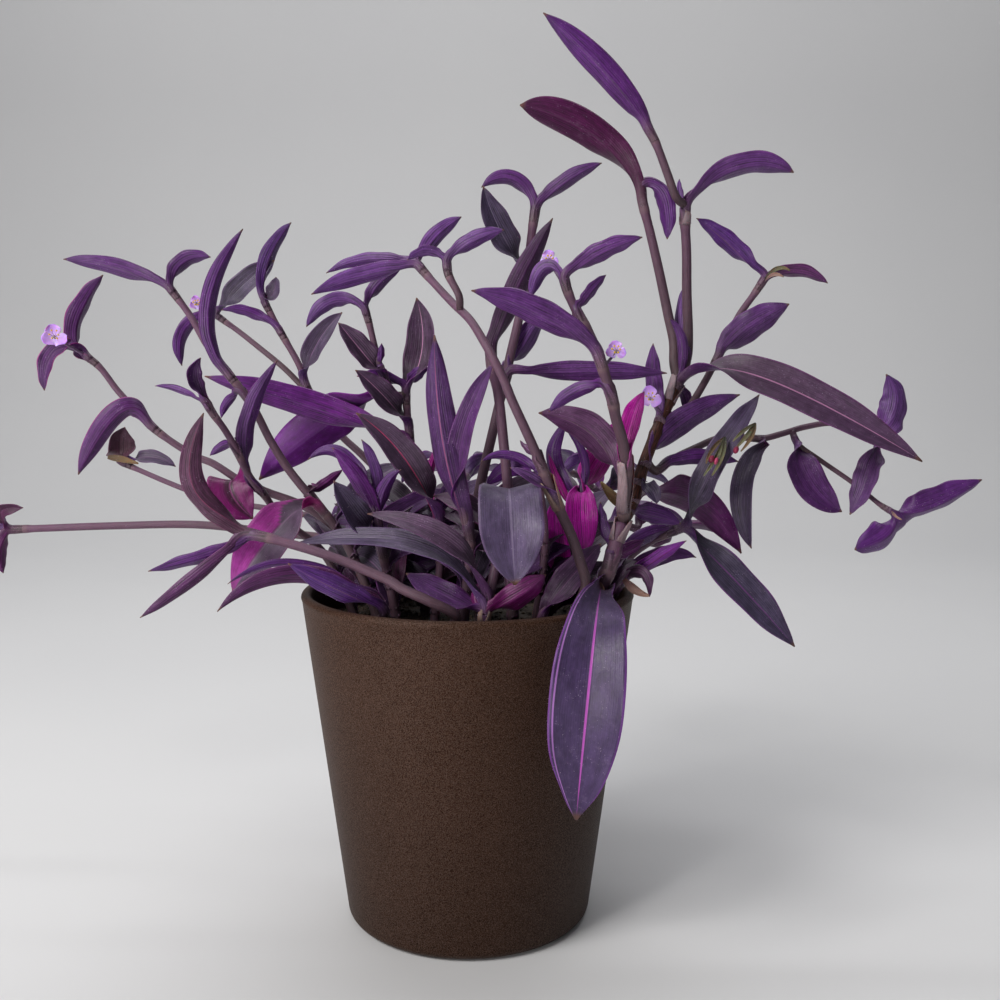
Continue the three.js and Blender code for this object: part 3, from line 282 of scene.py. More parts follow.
            [-226, 194, -232, 203, -4, -221, 205, -6, 7, 40, 20, 0, "maroon"],
            [-227, 194, -233, 185, -4, -232.5, 172, -6, 8, 150, 20, 0, "maroon"],
            [-227, 194, -240, 200, 2, -251, 194, 3, 9, 150, 20, 0, "dusk"]]],
    ],
    "stem_right_low": [
        [[58, 10], [[72, 168, 12], [80, 180, 13], [92, 189, 12], [106, 195, 9]], 2.8, 2.3, [
            [106, 195, 134, 168, -8, 164.5, 134.5, -12, 17, 30, 10, 0, "slate_edge"],
            [106, 195, 124, 230, -17, 143.5, 261, -4, 13.5, 35, 15, 0, "blue_slate"],
            [103, 194, 88, 190, -5, 74, 178, -8, 9, 150, 20, 0, "dusk"]]],
    ],
    "stem_right_rim": [
        [[64, -10], [[73, 162, -14], [77, 168, -14]], 2.4, 2.0, [
            [75, 165, 91, 177, -3, 109, 188.5, -5, 7.5, 150, 20, 0, "rose_violet"],
            [76, 167, 96, 180, 8, 114, 180, 12, 10, 35, 15, 0, "dusk"],
            [76, 167, 86, 172, -8, 91, 160, -12, 8, 150, 25, 0, "umber"]]],
    ],
}

# Stems that fall over the back of the pot, placed by the same rule as their solids.
BACK = {
    "seed": 11, "first_turn": 40, "turn_step": 18, "count": 5, "root_radius": 52,
    "radii": [64, 82, 100, 117, 132], "heights": [168, 180, 186, 184, 176], "raised": 27,
    "wander": 4, "foot_radius": 2.6, "tip_radius": 1.6, "leaf_length": [42.5, 55],
    "leaf_width": [12.75, 17.25], "leaf_turn": 38, "leaf_rise": 9, "leaf_drop": 6, "fold": 18,
    "tones": ["dusk", "violet", "slate", "maroon_violet", "blue_slate", "rose_violet"],
}

# Short dark leaves low among the stems, grown only where a stem stands behind the front ones.
# Their gain dims their colour as painted shade among the stems.
UNDERGROWTH = {
    "count": 6, "lowest": 152, "highest": 200, "front": -34, "turns": [10, 170], "length": [30, 56],
    "rise": [6, 34], "width": [9, 15], "reach": 94, "root_reach": 68, "face": [10, 60],
    "fold": 15, "arch": 5, "gain": 0.75,
    "tones": ["dusk", "maroon_violet", "dusk", "violet", "umber_slate", "maroon", "slate"],
}

# A bloom is [host node, shoot, host's x and z, centre's x and z, depth from the host, radius].
BLOOMS = {
    "bloom_left_long": ["stem_left_long", 0, -187, 280, -202, 289, -16, 6.5],
    "bloom_left_grey": ["stem_left_grey", 1, -126, 300, -132, 305, -9, 4.5],
    "bloom_right_main": ["stem_right_main", 1, 96, 251, 90, 259, -14, 6],
    "bloom_center_top": ["stem_right_main", 6, 50, 309, 40, 326, 17, 5],
    "bloom_center_low": ["stem_right_main", 6, 66, 274, 73, 282, 4, 5],
}
BLOOM = {
    "petals": 3, "petal_thickness": 0.35, "petal_curl": 0.35, "petal_width": 0.62, "wave": 0.34,
    "heart_length": 2.6, "heart_radius": 1.1, "stalk_radius": 0.8, "stamen_radius": 0.16,
    "anther_length": 1.0, "anther_radius": 0.42,
}
BLOOM_TONES = {
    "stalk": (104, 78, 110), "heart": (150, 150, 110), "petal_foot": (226, 196, 244),
    "petal_rim": (184, 132, 232), "stamen": (196, 150, 220), "anther": (232, 190, 62),
}

# Blades whose outline differs from the rest: node, shoot and leaf, then where the blade is widest,
# how blunt its tip is and how wide its base.
SHAPES = {
    ("stem_right_main", 0, 0): (0.56, 2.0, 0.05),
    ("stem_shield_leaf", 0, 0): (0.62, 2.4, 0.42),
    ("stem_right_main", 2, 0): (0.5, 4.2, 0.42),
    ("stem_right_main", 3, 0): (0.5, 3.6, 0.42),
    ("stem_left_long", 0, 3): (0.45, 2.2, 0.85),
}
# Display colours: the half of one leaf that is lit through, the dark middle of another, what dulls,
# dusts and dries the leaves, and the line inside a strong margin.
HALF_TONE = (152, 50, 138)
CENTER_TONE = (52, 12, 40)
DULL_TONE = (128, 112, 132)
DUST_TONE = (176, 160, 190)
DRY_TONE = (96, 66, 56)
INNER_LINE_TONE = (176, 120, 196)
# Display colours of the other pieces, the darker and the paler of each.
POT_TONES = [(50, 32, 22), (55, 36, 26)]
SOIL_TONES = [(34, 27, 22), (66, 53, 43)]
CRUMB_TONES = [(40, 31, 25), (86, 70, 56)]
HAIR_TONES = [(170, 140, 176), (236, 226, 236)]
FLOOR_TONES = [(206, 206, 208), (212, 212, 213)]

# Leaf tones as display colours: upper side, underside, midrib, margin, and how strongly the midrib
# and the margin show.
TONES = {
    "slate": [(74, 64, 86), (80, 54, 108), (150, 104, 150), (104, 52, 118), 0.5, 0.5],
    "slate_pink": [(72, 56, 78), (78, 50, 98), (196, 136, 178), (118, 50, 118), 0.8, 0.6],
    "slate_edge": [(68, 62, 84), (76, 54, 106), (150, 70, 160), (124, 44, 140), 0.6, 0.9],
    "blue_slate": [(70, 62, 84), (76, 56, 100), (118, 104, 134), (98, 60, 120), 0.35, 0.5],
    "grey": [(73, 65, 88), (80, 64, 100), (130, 116, 144), (110, 78, 122), 0.7, 0.4],
    "banded": [(58, 48, 76), (80, 52, 108), (186, 82, 184), (118, 54, 146), 1.0, 1.0],
    "striped": [(74, 54, 82), (84, 52, 110), (140, 84, 138), (120, 58, 120), 0.7, 0.5],
    "violet": [(82, 59, 98), (84, 57, 104), (108, 68, 124), (108, 48, 110), 0.35, 0.5],
    "mauve": [(88, 64, 108), (92, 66, 116), (130, 92, 150), (112, 58, 122), 0.4, 0.4],
    "bright": [(84, 50, 100), (88, 48, 108), (118, 70, 142), (118, 44, 126), 0.4, 0.5],
    "dusk": [(72, 46, 88), (78, 48, 100), (104, 58, 118), (104, 40, 104), 0.35, 0.5],
    "umber": [(78, 56, 70), (80, 56, 84), (110, 80, 90), (104, 64, 80), 0.3, 0.3],
    "umber_slate": [(78, 62, 84), (80, 56, 92), (120, 90, 118), (104, 64, 100), 0.3, 0.3],
    "maroon": [(70, 38, 66), (80, 42, 84), (108, 54, 96), (118, 40, 96), 0.3, 0.6],
    "maroon_violet": [(70, 44, 72), (76, 46, 82), (112, 62, 124), (124, 44, 110), 0.4, 0.7],
    "wine": [(58, 28, 50), (64, 30, 60), (96, 50, 90), (100, 36, 80), 0.3, 0.5],
    "night": [(50, 32, 58), (58, 34, 66), (88, 50, 98), (90, 36, 90), 0.3, 0.4],
    "rose_violet": [(96, 48, 108), (98, 50, 120), (160, 60, 130), (150, 44, 118), 0.5, 0.8],
    "rose": [(132, 52, 116), (136, 54, 122), (156, 80, 134), (146, 48, 116), 0.4, 0.5],
    "rose_dark": [(76, 32, 74), (86, 34, 82), (140, 70, 130), (136, 48, 110), 0.6, 0.6],
    "red_rib": [(74, 60, 80), (80, 54, 98), (192, 58, 106), (104, 52, 100), 1.0, 0.5],
    "umber_pink": [(70, 48, 66), (74, 46, 70), (150, 70, 110), (128, 46, 92), 0.6, 0.7],
    "dusk_pink": [(72, 52, 86), (76, 52, 94), (150, 74, 124), (112, 50, 106), 0.9, 0.6],
    "violet_edge": [(72, 48, 86), (76, 46, 92), (124, 60, 128), (170, 40, 124), 0.5, 0.9],
    "magenta": [(158, 26, 150), (150, 26, 142), (84, 6, 96), (150, 20, 150), 0.7, 0.4],
    "magenta_slit": [(92, 10, 82), (92, 12, 80), (150, 60, 130), (136, 30, 110), 0.5, 0.5],
    "half_magenta": [(80, 66, 88), (168, 44, 138), (120, 84, 120), (140, 60, 120), 0.8, 0.5],
    "pink": [(160, 50, 146), (156, 48, 142), (170, 84, 170), (150, 50, 150), 0.4, 0.4],
}

# Dried sheaths along the stems: [shoot, low end's x and z, high end's x and z, the side that they
# open to in degrees from the eye, how far they flare, paper].
SHEATHS = {
    "stem_right_main": [
        [0, [74, 188], [77.5, 201], -20, 0.5, "mauve"],
        [6, [77.5, 204], [78.5, 229], 40, 0.7, "mauve"],
        [1, [99, 257], [103.5, 270], 20, 0.9, "mauve"],
        [3, [106, 343], [105.5, 348], -60, 0.2, "mauve"]],
    "stem_center": [[0, [42, 203], [40, 221], 10, 0.8, "straw"]],
    "stem_front": [[0, [8, 148], [9, 160], 0, 0.8, "straw"]],
}

# Dried bracts, sepals and curled leaves: [base, middle and tip as seen, width, roll, paper].
BRACTS = {
    "stem_right_main": [
        [[64, 168, -36], [66, 164, -39], [68.5, 159, -41], 5, 1.6, "straw"],
        [[78, 169, -26], [84, 163, -30], [91, 160.5, -32], 6, 1.9, "straw"],
        [[79, 205, -22], [72, 210, -26], [66, 218, -28], 6, 1.4, "olive"],
        [[145, 317, 18], [151, 322, 14], [157, 321, 13], 2.6, 1.4, "green"],
        [[145, 316, 18], [149, 319, 12], [154, 318, 11], 2.2, 1.2, "straw"],
        [[211, 203, 15], [213, 200.5, 11], [216, 199, 10], 1.8, 1.2, "straw"]],
    "stem_right_low": [
        [[127, 240, -9], [124, 232, -14], [117, 221, -14], 3.0, 1.7, "green"],
        [[127, 240, -9], [126, 231, -16], [121, 221, -15], 2.6, 1.5, "green"],
        [[127, 240, -9], [121, 234, -14], [118, 227, -15], 2.4, 1.5, "olive"],
        [[142, 247, -7], [138, 241, -11], [132, 234, -12], 2.8, 1.7, "green"],
        [[142, 247, -7], [140, 240, -12], [135, 233, -13], 2.4, 1.5, "olive"],
        [[142, 247, -7], [136, 243, -11], [131, 238, -12], 2.2, 1.5, "green"]],
    "stem_left_long": [
        [[-178, 230, 0], [-171, 229, -4], [-163, 227, -5], 4.0, 1.4, "olive"]],
}

# Buds: [base and tip as seen, radius, display colour].
BUDS = {
    "stem_right_low": [
        [[121.5, 231, -16.5], [120, 227.5, -17.5], 1.4, (120, 10, 52)],
        [[123.5, 230, -17], [122.5, 226.5, -17.5], 1.0, (176, 60, 100)],
        [[133.5, 235.5, -13.5], [132, 232, -14.5], 1.3, (126, 10, 56)]],
}

# Dry papers as display colours: foot and rim.
PAPERS = {
    "straw": [(104, 76, 78), (164, 136, 122)],
    "mauve": [(100, 78, 88), (158, 136, 142)],
    "olive": [(74, 60, 40), (120, 98, 66)],
    "green": [(52, 52, 40), (122, 122, 88)],
}

# Soil crumbs and leaf hairs: how many to the square metre, their sizes in millimetres, how far they
# lean and the seed of their places.
CRUMBS = {"Density": 90000.0, "Smallest": 0.6, "Largest": 2.4, "Lean": 1.0, "Seed": 4}
HAIRS = {"Density": 300000.0, "Smallest": 0.4, "Largest": 1.1, "Lean": 0.6, "Seed": 9}

# Soft lights: [place, what it faces, size, watts, colour], in metres.
LIGHTS = {
    "window": [(-0.97, -0.9, 1.25), (0, 0, 0.2), (0.7, 0.65), 23, (1.0, 0.985, 0.96)],
    "low window": [(-0.7, -0.88, 0.17), (0, 0, 0.13), (0.3, 0.28), 5, (1.0, 0.95, 0.92)],
    "fill": [(1.2, -0.8, 0.6), (0, 0, 0.2), (0.9, 0.9), 0.6, (0.96, 0.97, 1.0)],
    "top": [(0.1, 0.35, 1.6), (0, 0, 0.2), (1.2, 0.8), 8.5, (1, 1, 1)],
    "wall wash": [(0, 1.1, 2.6), (0, 2.3, 0.6), (3.0, 0.4), 27, (1, 1, 1)],
}
ROOM_LIGHT = {"colour": (0.86, 0.88, 0.92, 1), "strength": 0.11}


# ------------------------------------------------------------------ places and directions

def vec(x, y, z):
    return np.array([x, y, z], float)


SKY = vec(0, 0, 1)
TO_EYE = vec(0, -1, 0)


def mix(a, b, t):
    return a + (b - a) * t


def smooth(t):
    t = np.clip(t, 0.0, 1.0)
    return t * t * (3 - 2 * t)


def unit(v):
    return v / np.linalg.norm(v)


def level(direction, along):
    """The part of a direction that is square to another."""
    return unit(direction - along * direction.dot(along))


def turned(v, axis, angle):
    """A vector turned about a unit axis."""
    return (v * math.cos(angle) + np.cross(axis, v) * math.sin(angle)
            + axis * axis.dot(v) * (1 - math.cos(angle)))


def scale_at(y):
    return (y + EYE["distance"]) / EYE["distance"]


def seen(x, z, y):
    """The true place of what is seen at [x, z] and lies at depth y."""
    k = scale_at(y)
    return vec(EYE["x"] + (x - EYE["x"]) * k, y, EYE["z"] + (z - EYE["z"]) * k)


def seen_from(place):
    """Where a true place, or each of a row of them, is seen, as [x, z, y]."""
    k = scale_at(place[1])
    return [EYE["x"] + (place[0] - EYE["x"]) / k, EYE["z"] + (place[2] - EYE["z"]) / k, place[1]]


def leaned(z, y):
    """Depth of a stem's place, with the lean that its height gives."""
    return y * mix(1, LEAN["gain"], smooth((z - LEAN["from"]) / (LEAN["to"] - LEAN["from"])))


def linear(colour):
    """A display colour of 0 to 255 as linear light."""
    c = np.asarray(colour, float) / 255
    return np.where(c <= 0.04045, c / 12.92, ((c + 0.055) / 1.055) ** 2.4)


def deep(colour):
    """A leaf's display colour as linear light, richer, since the room's sheen greys it."""
    c = linear(colour)
    grey = c.mean()
    return np.clip(grey + (c - grey) * 1.34, 0.002, 1) * (0.99, 0.98, 0.86)


class Draws:
    """Repeatable random numbers from 0 to 1, the same as in the part's source."""

    def __init__(self, seed):
        self.state = seed

    def __call__(self):
        self.state = (self.state * 1664525 + 1013904223) % 2 ** 32
        return self.state / 2 ** 32


# ------------------------------------------------------------------ stem lines

def curve(start, end, first, last, t):
    """A smooth way between two places that leaves and arrives in the given directions."""
    return (start * (1 + 2 * t) * (1 - t) ** 2 + first * t * (1 - t) ** 2
            + end * t * t * (3 - 2 * t) + last * t * t * (t - 1))


def fine_line(places):
    """A smooth line through the given places, sampled about every millimetre."""
    count = len(places)
    slopes = []
    for i, place in enumerate(places):
        before, after = places[max(0, i - 1)], places[min(count - 1, i + 1)]
        reach = np.linalg.norm(place - before) + np.linalg.norm(place - after)
        slopes.append((after - before) / reach)
    line = [places[0]]
    for i in range(count - 1):
        span = np.linalg.norm(places[i + 1] - places[i])
        steps = max(1, int(math.floor(span + 0.5)))
        for k in range(1, steps + 1):
            line.append(curve(places[i], places[i + 1], slopes[i] * span, slopes[i + 1] * span,
                              k / steps))
    return np.array(line)


def nearest(line, target):
    return int(np.argmin(np.linalg.norm(line - target, axis=1)))


def nearest_seen(line, x, z):
    px, pz, _ = seen_from(line.T)
    return int(np.argmin(np.hypot(px - x, pz - z)))


def direction_at(line, i):
    return unit(line[min(len(line) - 1, i + 2)] - line[max(0, i - 2)])


def shoot_lines(shoots):
    """Lines and radii of a node's shoots; a side shoot starts on the one that it grows from."""
    made = []
    for start, places, foot, tip, _ in shoots:
        path = [seen(x, z, leaned(z, y)) for x, z, y in places]
        if isinstance(start, list):
            heights = [-SOIL["root_depth"], SOIL["collar"], 2 * SOIL["collar"]]
            path = [vec(*start, SOIL["top"] + h) for h in heights] + path
        else:
            parent = made[start]["line"]
            path = [parent[nearest(parent, path[0])]] + path
        made.append({"line": fine_line(path), "foot": foot, "tip": tip})
    return made


def stem_radius(shoot, i):
    return mix(shoot["foot"], shoot["tip"], i / (len(shoot["line"]) - 1))


def around(turn, radius, height):
    turn = math.radians(turn)
    return vec(radius * math.cos(turn), radius * math.sin(turn), height)


def leaf_row(place, middle, tip, width, face, fold, tone):
    """A leaf between true places, in the table's own form."""
    (bx, bz, by), (mx, mz, my), (tx, tz, ty) = map(seen_from, (place, middle, tip))
    return [bx, bz, mx, mz, my - by, tx, tz, ty - by, width, face, fold, 0, tone]


def back_stem(index, draw):
    """One stem over the back of the pot, in the layout's own form."""
    turn = BACK["first_turn"] + index * BACK["turn_step"]
    lift = 0 if index % 2 == 0 else BACK["raised"]

    def stray():
        return (draw() - 0.5) * BACK["wander"]

    places = []
    for j, radius in enumerate(BACK["radii"]):
        rise = lift * smooth((j + 1) / 2)
        places.append(around(turn + stray(), radius, BACK["heights"][j] + rise + stray()))
    leaves = []
    for j, place in enumerate(places[1:]):
        sides = [-1, 1] if j == len(places) - 2 else [1 if j % 2 == 0 else -1]
        for side in sides:
            away = around(turn + side * BACK["leaf_turn"], mix(*BACK["leaf_length"], draw()), 0)
            middle = place + away * 0.5 + vec(0, 0, BACK["leaf_rise"])
            tip = place + away - vec(0, 0, BACK["leaf_drop"] * draw())
            width = mix(*BACK["leaf_width"], draw()) / scale_at(middle[1])
            tone = BACK["tones"][(index + j + (side > 0)) % len(BACK["tones"])]
            leaves.append(leaf_row(place, middle, tip, width, None, BACK["fold"], tone))
    root = around(turn, BACK["root_radius"], 0)
    return [[[root[0], root[1]], [seen_from(p) for p in places], BACK["foot_radius"],
             BACK["tip_radius"], leaves]]


def whole_plant():
    draw = Draws(BACK["seed"])
    plant = dict(PLANT)
    for i in range(BACK["count"]):
        plant[f"stem_back_{i + 1}"] = back_stem(i, draw)
    return plant


# ------------------------------------------------------------------ skins

# Point attributes: kind, the name of the value in it, and its shape.
ATTRIBUTES = {
    "tint": ("FLOAT_COLOR", "color", (4,)),
    "rib": ("FLOAT_COLOR", "color", (4,)),
    "grain": ("FLOAT_VECTOR", "vector", (3,)),
    "downy": ("FLOAT", "value", ()),
    "breadth": ("FLOAT", "value", ()),
}


def grid_faces(n, m, base=0):
    """Faces of n closed rings of m points, their two ends capped."""
    k = np.arange(m)
    faces = []
    for i in range(n - 1):
        a, b = base + i * m + k, base + i * m + (k + 1) % m
        faces.extend(np.stack([a, b, b + m, a + m], 1).tolist())
    return faces + [(base + k[::-1]).tolist(), (base + (n - 1) * m + k).tolist()]


def new_mesh(name, points, faces, materials=(), smooth=True):
    """A mesh from points in millimetres."""
    mesh = bpy.data.meshes.new(name)
    mesh.from_pydata(np.asarray(points, float) * MM, [], faces)
    for material in materials:
        mesh.materials.append(material)
    mesh.polygons.foreach_set("use_smooth", [smooth] * len(faces))
    mesh.update()
    return mesh


class Skin:
    """Gathers closed grids of points into one mesh, with the attributes that the materials read:
    tint (colour, and 1 for the underside or for wood), rib (colour, and strength), grain (across,
    along, millimetres along), downy (how hairy it is) and breadth (millimetres edge to edge)."""

    def __init__(self):
        self.points, self.faces, self.slots = [], [], []
        self.data = {key: [] for key in ATTRIBUTES}
        self.count = 0

    def add(self, rings, slot, tint, rib=(0, 0, 0, 0), grain=None, downy=0.0, breadth=10.0):
        """rings is [ring, point, 3]; each ring runs anticlockwise seen from the last one."""
        rings = np.asarray(rings, float)
        n, m = rings.shape[:2]
        faces = grid_faces(n, m, self.count)
        self.faces += faces
        self.slots += [slot] * len(faces)
        self.points.append(rings.reshape(-1, 3))
        if grain is None:
            grain = ring_grain(m, np.arange(n) / n, np.zeros(n))
        values = {"tint": tint, "rib": rib, "grain": grain, "downy": downy, "breadth": breadth}
        for key, (_, _, shape) in ATTRIBUTES.items():
            self.data[key].append(np.broadcast_to(values[key], (n, m) + shape).ravel())
        self.count += n * m

    def mesh(self, name, materials):
        mesh = new_mesh(name, np.concatenate(self.points), self.faces, materials)
        mesh.polygons.foreach_set("material_index", self.slots)
        for key, (kind, value, _) in ATTRIBUTES.items():
            made = mesh.attributes.new(key, kind, "POINT")
            made.data.foreach_set(value, np.concatenate(self.data[key]).astype(np.float32))
        mesh.update()
        return mesh


def add_object(name, mesh):
    made = bpy.data.objects.new(name, mesh)
    bpy.context.collection.objects.link(made)
    return made


def with_alpha(colour, alpha=0.0):
    return np.append(linear(colour), alpha)


def draws_for(name):
    return Draws(sum(ord(c) for c in name))


def ring_grain(m, share, run):
    """Grain of round rings of m points: share and millimetres along, one of each a ring."""
    return np.stack(np.broadcast_arrays(
        np.arange(m)[None, :] / m, np.asarray(share)[:, None], np.asarray(run)[:, None] * 1.0), 2)


def blade_grain(s, share, run):
    """Grain of a blade's rings, from where each point lies across, along and in millimetres."""
    return np.stack(np.broadcast_arrays((s + 1) / 2, share, run), 2)


def two_sided(colour):
    """Tint of a blade's rings: 0 after the upper side's colour and 1 after the underside's."""
    side = np.repeat([0.0, 1.0], LEAF["across"])[None, :, None]
    return np.concatenate([colour, np.broadcast_to(side, colour.shape[:2] + (1,))], 2)


def paper_tint(tone, share):
    """Tint of a dry paper that pales from its foot to its rim."""
    foot, rim = (linear(colour) for colour in PAPERS[tone])
    colour = mix(foot, rim, share[:, None])[:, None, :]
    return two_sided(np.repeat(colour, 2 * LEAF["across"], 1))


def section_at(place, along, up, outline):
    """A section's outline set at a place, square to a direction."""
    return place + outline[:, :1] * np.cross(up, along) + outline[:, 1:] * up


def ring_about(place, along, across, radius, sides):
    """A round ring of points, square to a direction."""
    other = np.cross(along, across)
    turn = 2 * math.pi * np.arange(sides) / sides
    return place + radius * (np.cos(turn)[:, None] * across + np.sin(turn)[:, None] * other)


def tube(skin, line, radii, sides, slot, tint, **rest):
    """A round closed tube along a line."""
    line = np.asarray(line, float)
    across = vec(1, 0, 0) if abs(unit(line[-1] - line[0])[0]) < 0.9 else vec(0, 1, 0)
    rings = []
    for i, place in enumerate(line):
        along = unit(line[min(len(line) - 1, i + 1)] - line[max(0, i - 1)])
        across = level(across, along)
        rings.append(ring_about(place, along, across, radii[i], sides))
    skin.add(rings, slot, tint, **rest)


# ------------------------------------------------------------------ stems

FLESH, BARK, PAPER, PETAL, CALYX, ANTHER = range(6)
STEM_FOOT = np.array((80, 64, 68))
STEM_TIP = np.array((98, 66, 90))
WOODY = {("stem_right_main", 1): (62, 32, 24)}
NODE_RING = (132, 106, 104)


def sheath_length(radius):
    return SHEATH["least"] + SHEATH["gain"] * radius


def add_stem(skin, shoot, joints, woody=None):
    """The round skin of a shoot, swollen and pale at its nodes; woody is an old one's colour."""
    line = shoot["line"]
    last = len(line) - 1
    order = np.linspace(0, last, max(3, int(len(line) / STEM["step"]))).round().astype(int)
    across = vec(0, 1, 0)
    rings, tints, ribs = [], [], []
    nodes = [j - sheath_length(stem_radius(shoot, j)) for j in joints]
    for i in order:
        along = direction_at(line, i)
        across = level(across, along)
        near = min([abs(i - n) for n in nodes], default=99)
        swell = 1 + STEM["swell"] * math.exp(-(near / STEM["swell_reach"]) ** 2)
        closing = math.sqrt(max(0.05, min(1, (last - i) / 3)))
        radius = stem_radius(shoot, i) * swell * closing
        rings.append(ring_about(line[i], along, across, radius, STEM["sides"]))
        tints.append(with_alpha(woody or mix(STEM_FOOT, STEM_TIP, i / last), 1.0 if woody else 0.0))
        ribs.append(with_alpha(NODE_RING, 0.0 if woody else math.exp(-(near / 1.3) ** 2)))
    skin.add(rings, BARK, np.array(tints)[:, None, :], np.array(ribs)[:, None, :],
             ring_grain(STEM["sides"], order / 100.0, order), 0.05)


# ------------------------------------------------------------------ leaves

def leaf_outline(t, widest, power, base_share):
    """Share of the full half-width, from 0 at the base to 1 at the tip."""
    rise = mix(1, base_share, (1 - t / widest) ** 2)
    fall = 1 - (np.clip(t - widest, 0, None) / (1 - widest)) ** power
    return np.where(t < widest, rise, np.maximum(LEAF["tip_share"], fall))


def leaf_spine(base, middle, tip, arch, t):
    t = np.asarray(t)[:, None]
    pull = middle * 2 - (base + tip) * 0.5
    line = base * (1 - t) ** 2 + pull * 2 * t * (1 - t) + tip * t * t
    line[:, 2] += (arch * LEAF["arch_gain"] * t * (1 - t) ** 3)[:, 0]
    return line


def face_direction(place, along, face):
    """Direction of the upper side, turned from the eye by the leaf's face angle, or to the sky."""
    if face is None:
        return level(SKY, along)
    face = mix(face, 0 if face < 90 else 180, LEAF["face_open"])
    front = level(unit(vec(EYE["x"], -EYE["distance"], EYE["z"]) - place), along)
    side = np.cross(along, front)
    if side[2] < 0:
        side = -side
    return front * math.cos(math.radians(face)) + side * math.sin(math.radians(face))


def leaf_frames(line, joint, growth, leaf, radius):
    """Stations of the blade: places, directions and upper sides, then where it leaves the stem and
    the share of its length that clasps it."""
    base = line[joint]
    _, _, mx, mz, md, tx, tz, td, _, face, _, arch, _ = leaf
    middle, tip = seen(mx, mz, base[1] + md), seen(tx, tz, base[1] + td)
    t = np.linspace(0, 1, LEAF["stations"] + 1)
    place = leaf_spine(base, middle, tip, arch, t)
    clasp = min(LEAF["clasp_reach"], LEAF["clasp_length"] / np.linalg.norm(tip - base))
    reach = clasp * 0.8
    ends = leaf_spine(base, middle, tip, arch, [reach, reach + 0.01])
    leaving = unit(ends[0] - base)
    outward = level(leaving if abs(leaving.dot(growth)) < 0.999 else TO_EYE, growth)
    start = base + outward * (radius + 0.3)
    gap = np.linalg.norm(ends[0] - start)
    swing = 0.1 + 0.9 * ((1 + leaving.dot(growth)) / 2) ** 1.5
    first, last = growth * gap * swing, unit(ends[1] - ends[0]) * gap
    for k in np.nonzero(t < reach)[0]:
        place[k] = curve(start, ends[0], first, last, t[k] / reach)
    along = np.gradient(place, axis=0)
    along[0] = growth
    along /= np.linalg.norm(along, axis=1)[:, None]
    up = np.zeros_like(along)
    half = int(0.45 * LEAF["stations"])
    up[half] = face_direction(place[half], along[half], face)
    for k in range(half + 1, len(t)):
        up[k] = level(up[k - 1], along[k])
    for k in range(half - 1, -1, -1):
        up[k] = level(up[k + 1], along[k])
    inner = level(-outward, along[0])
    turn = math.atan2(np.cross(up[0], inner).dot(along[0]), up[0].dot(inner))
    for k in range(len(t)):
        up[k] = turned(up[k], along[k], turn * (1 - smooth(t[k] / LEAF["turn_reach"])))
    return place, along, up, outward, clasp


def blade_section(half_width, curl, fold, thickness, rib, ripple):
    """Outline of a blade's section: upper side from right to left, underside back again."""
    s = np.linspace(1, -1, LEAF["across"])
    curl = max(curl, 1e-3)
    x = np.sin(curl * s) / curl * half_width
    z = (1 - np.cos(curl * s)) / curl * half_width
    x, z = (x * math.cos(fold) - np.sign(s) * z * math.sin(fold),
            z * math.cos(fold) + np.abs(x) * math.sin(fold))
    z = z + ripple[0] * np.clip(s, 0, 1) ** 3 + ripple[1] * np.clip(-s, 0, 1) ** 3
    tx, tz = np.gradient(x), np.gradient(z)
    size = np.hypot(tx, tz)
    nx, nz = tz / size, -tx / size
    thick = thickness * (1 - 0.7 * np.abs(s) ** 6) / 2
    under = thick + rib * np.exp(-(s / 0.1) ** 2)
    over = thick - 0.3 * rib * np.exp(-(s / 0.07) ** 2)
    upper = np.stack([x + nx * over, z + nz * over], 1)
    lower = np.stack([x - nx * under, z - nz * under], 1)
    return np.concatenate([upper, lower[::-1]]), np.concatenate([s, s[::-1]])


USUAL_SHAPE = (LEAF["widest_at"], LEAF["tip_power"], LEAF["base_share"])


def undergrowth(shoot, draw):
    """Short leaves low on a stem, in the table's own form."""
    low = UNDERGROWTH
    line, made = shoot["line"], []
    for k in range(low["count"]):
        height = mix(low["lowest"], low["highest"], (k + draw()) / low["count"])
        place = line[int(np.argmin(np.abs(line[:, 2] - height)))]
        if np.hypot(*place[:2]) > low["root_reach"]:
            continue
        tip = place + around(mix(*low["turns"], draw()), mix(*low["length"], draw()), 0)
        tip[:2] *= min(1, low["reach"] / np.hypot(*tip[:2]))
        tip[2] += mix(*low["rise"], draw())
        middle = (place + tip) / 2 + vec(0, 0, low["arch"])
        made.append(leaf_row(place, middle, tip, mix(*low["width"], draw()),
                             mix(*low["face"], draw()), low["fold"],
                             low["tones"][int(draw() * len(low["tones"]))]))
    return made


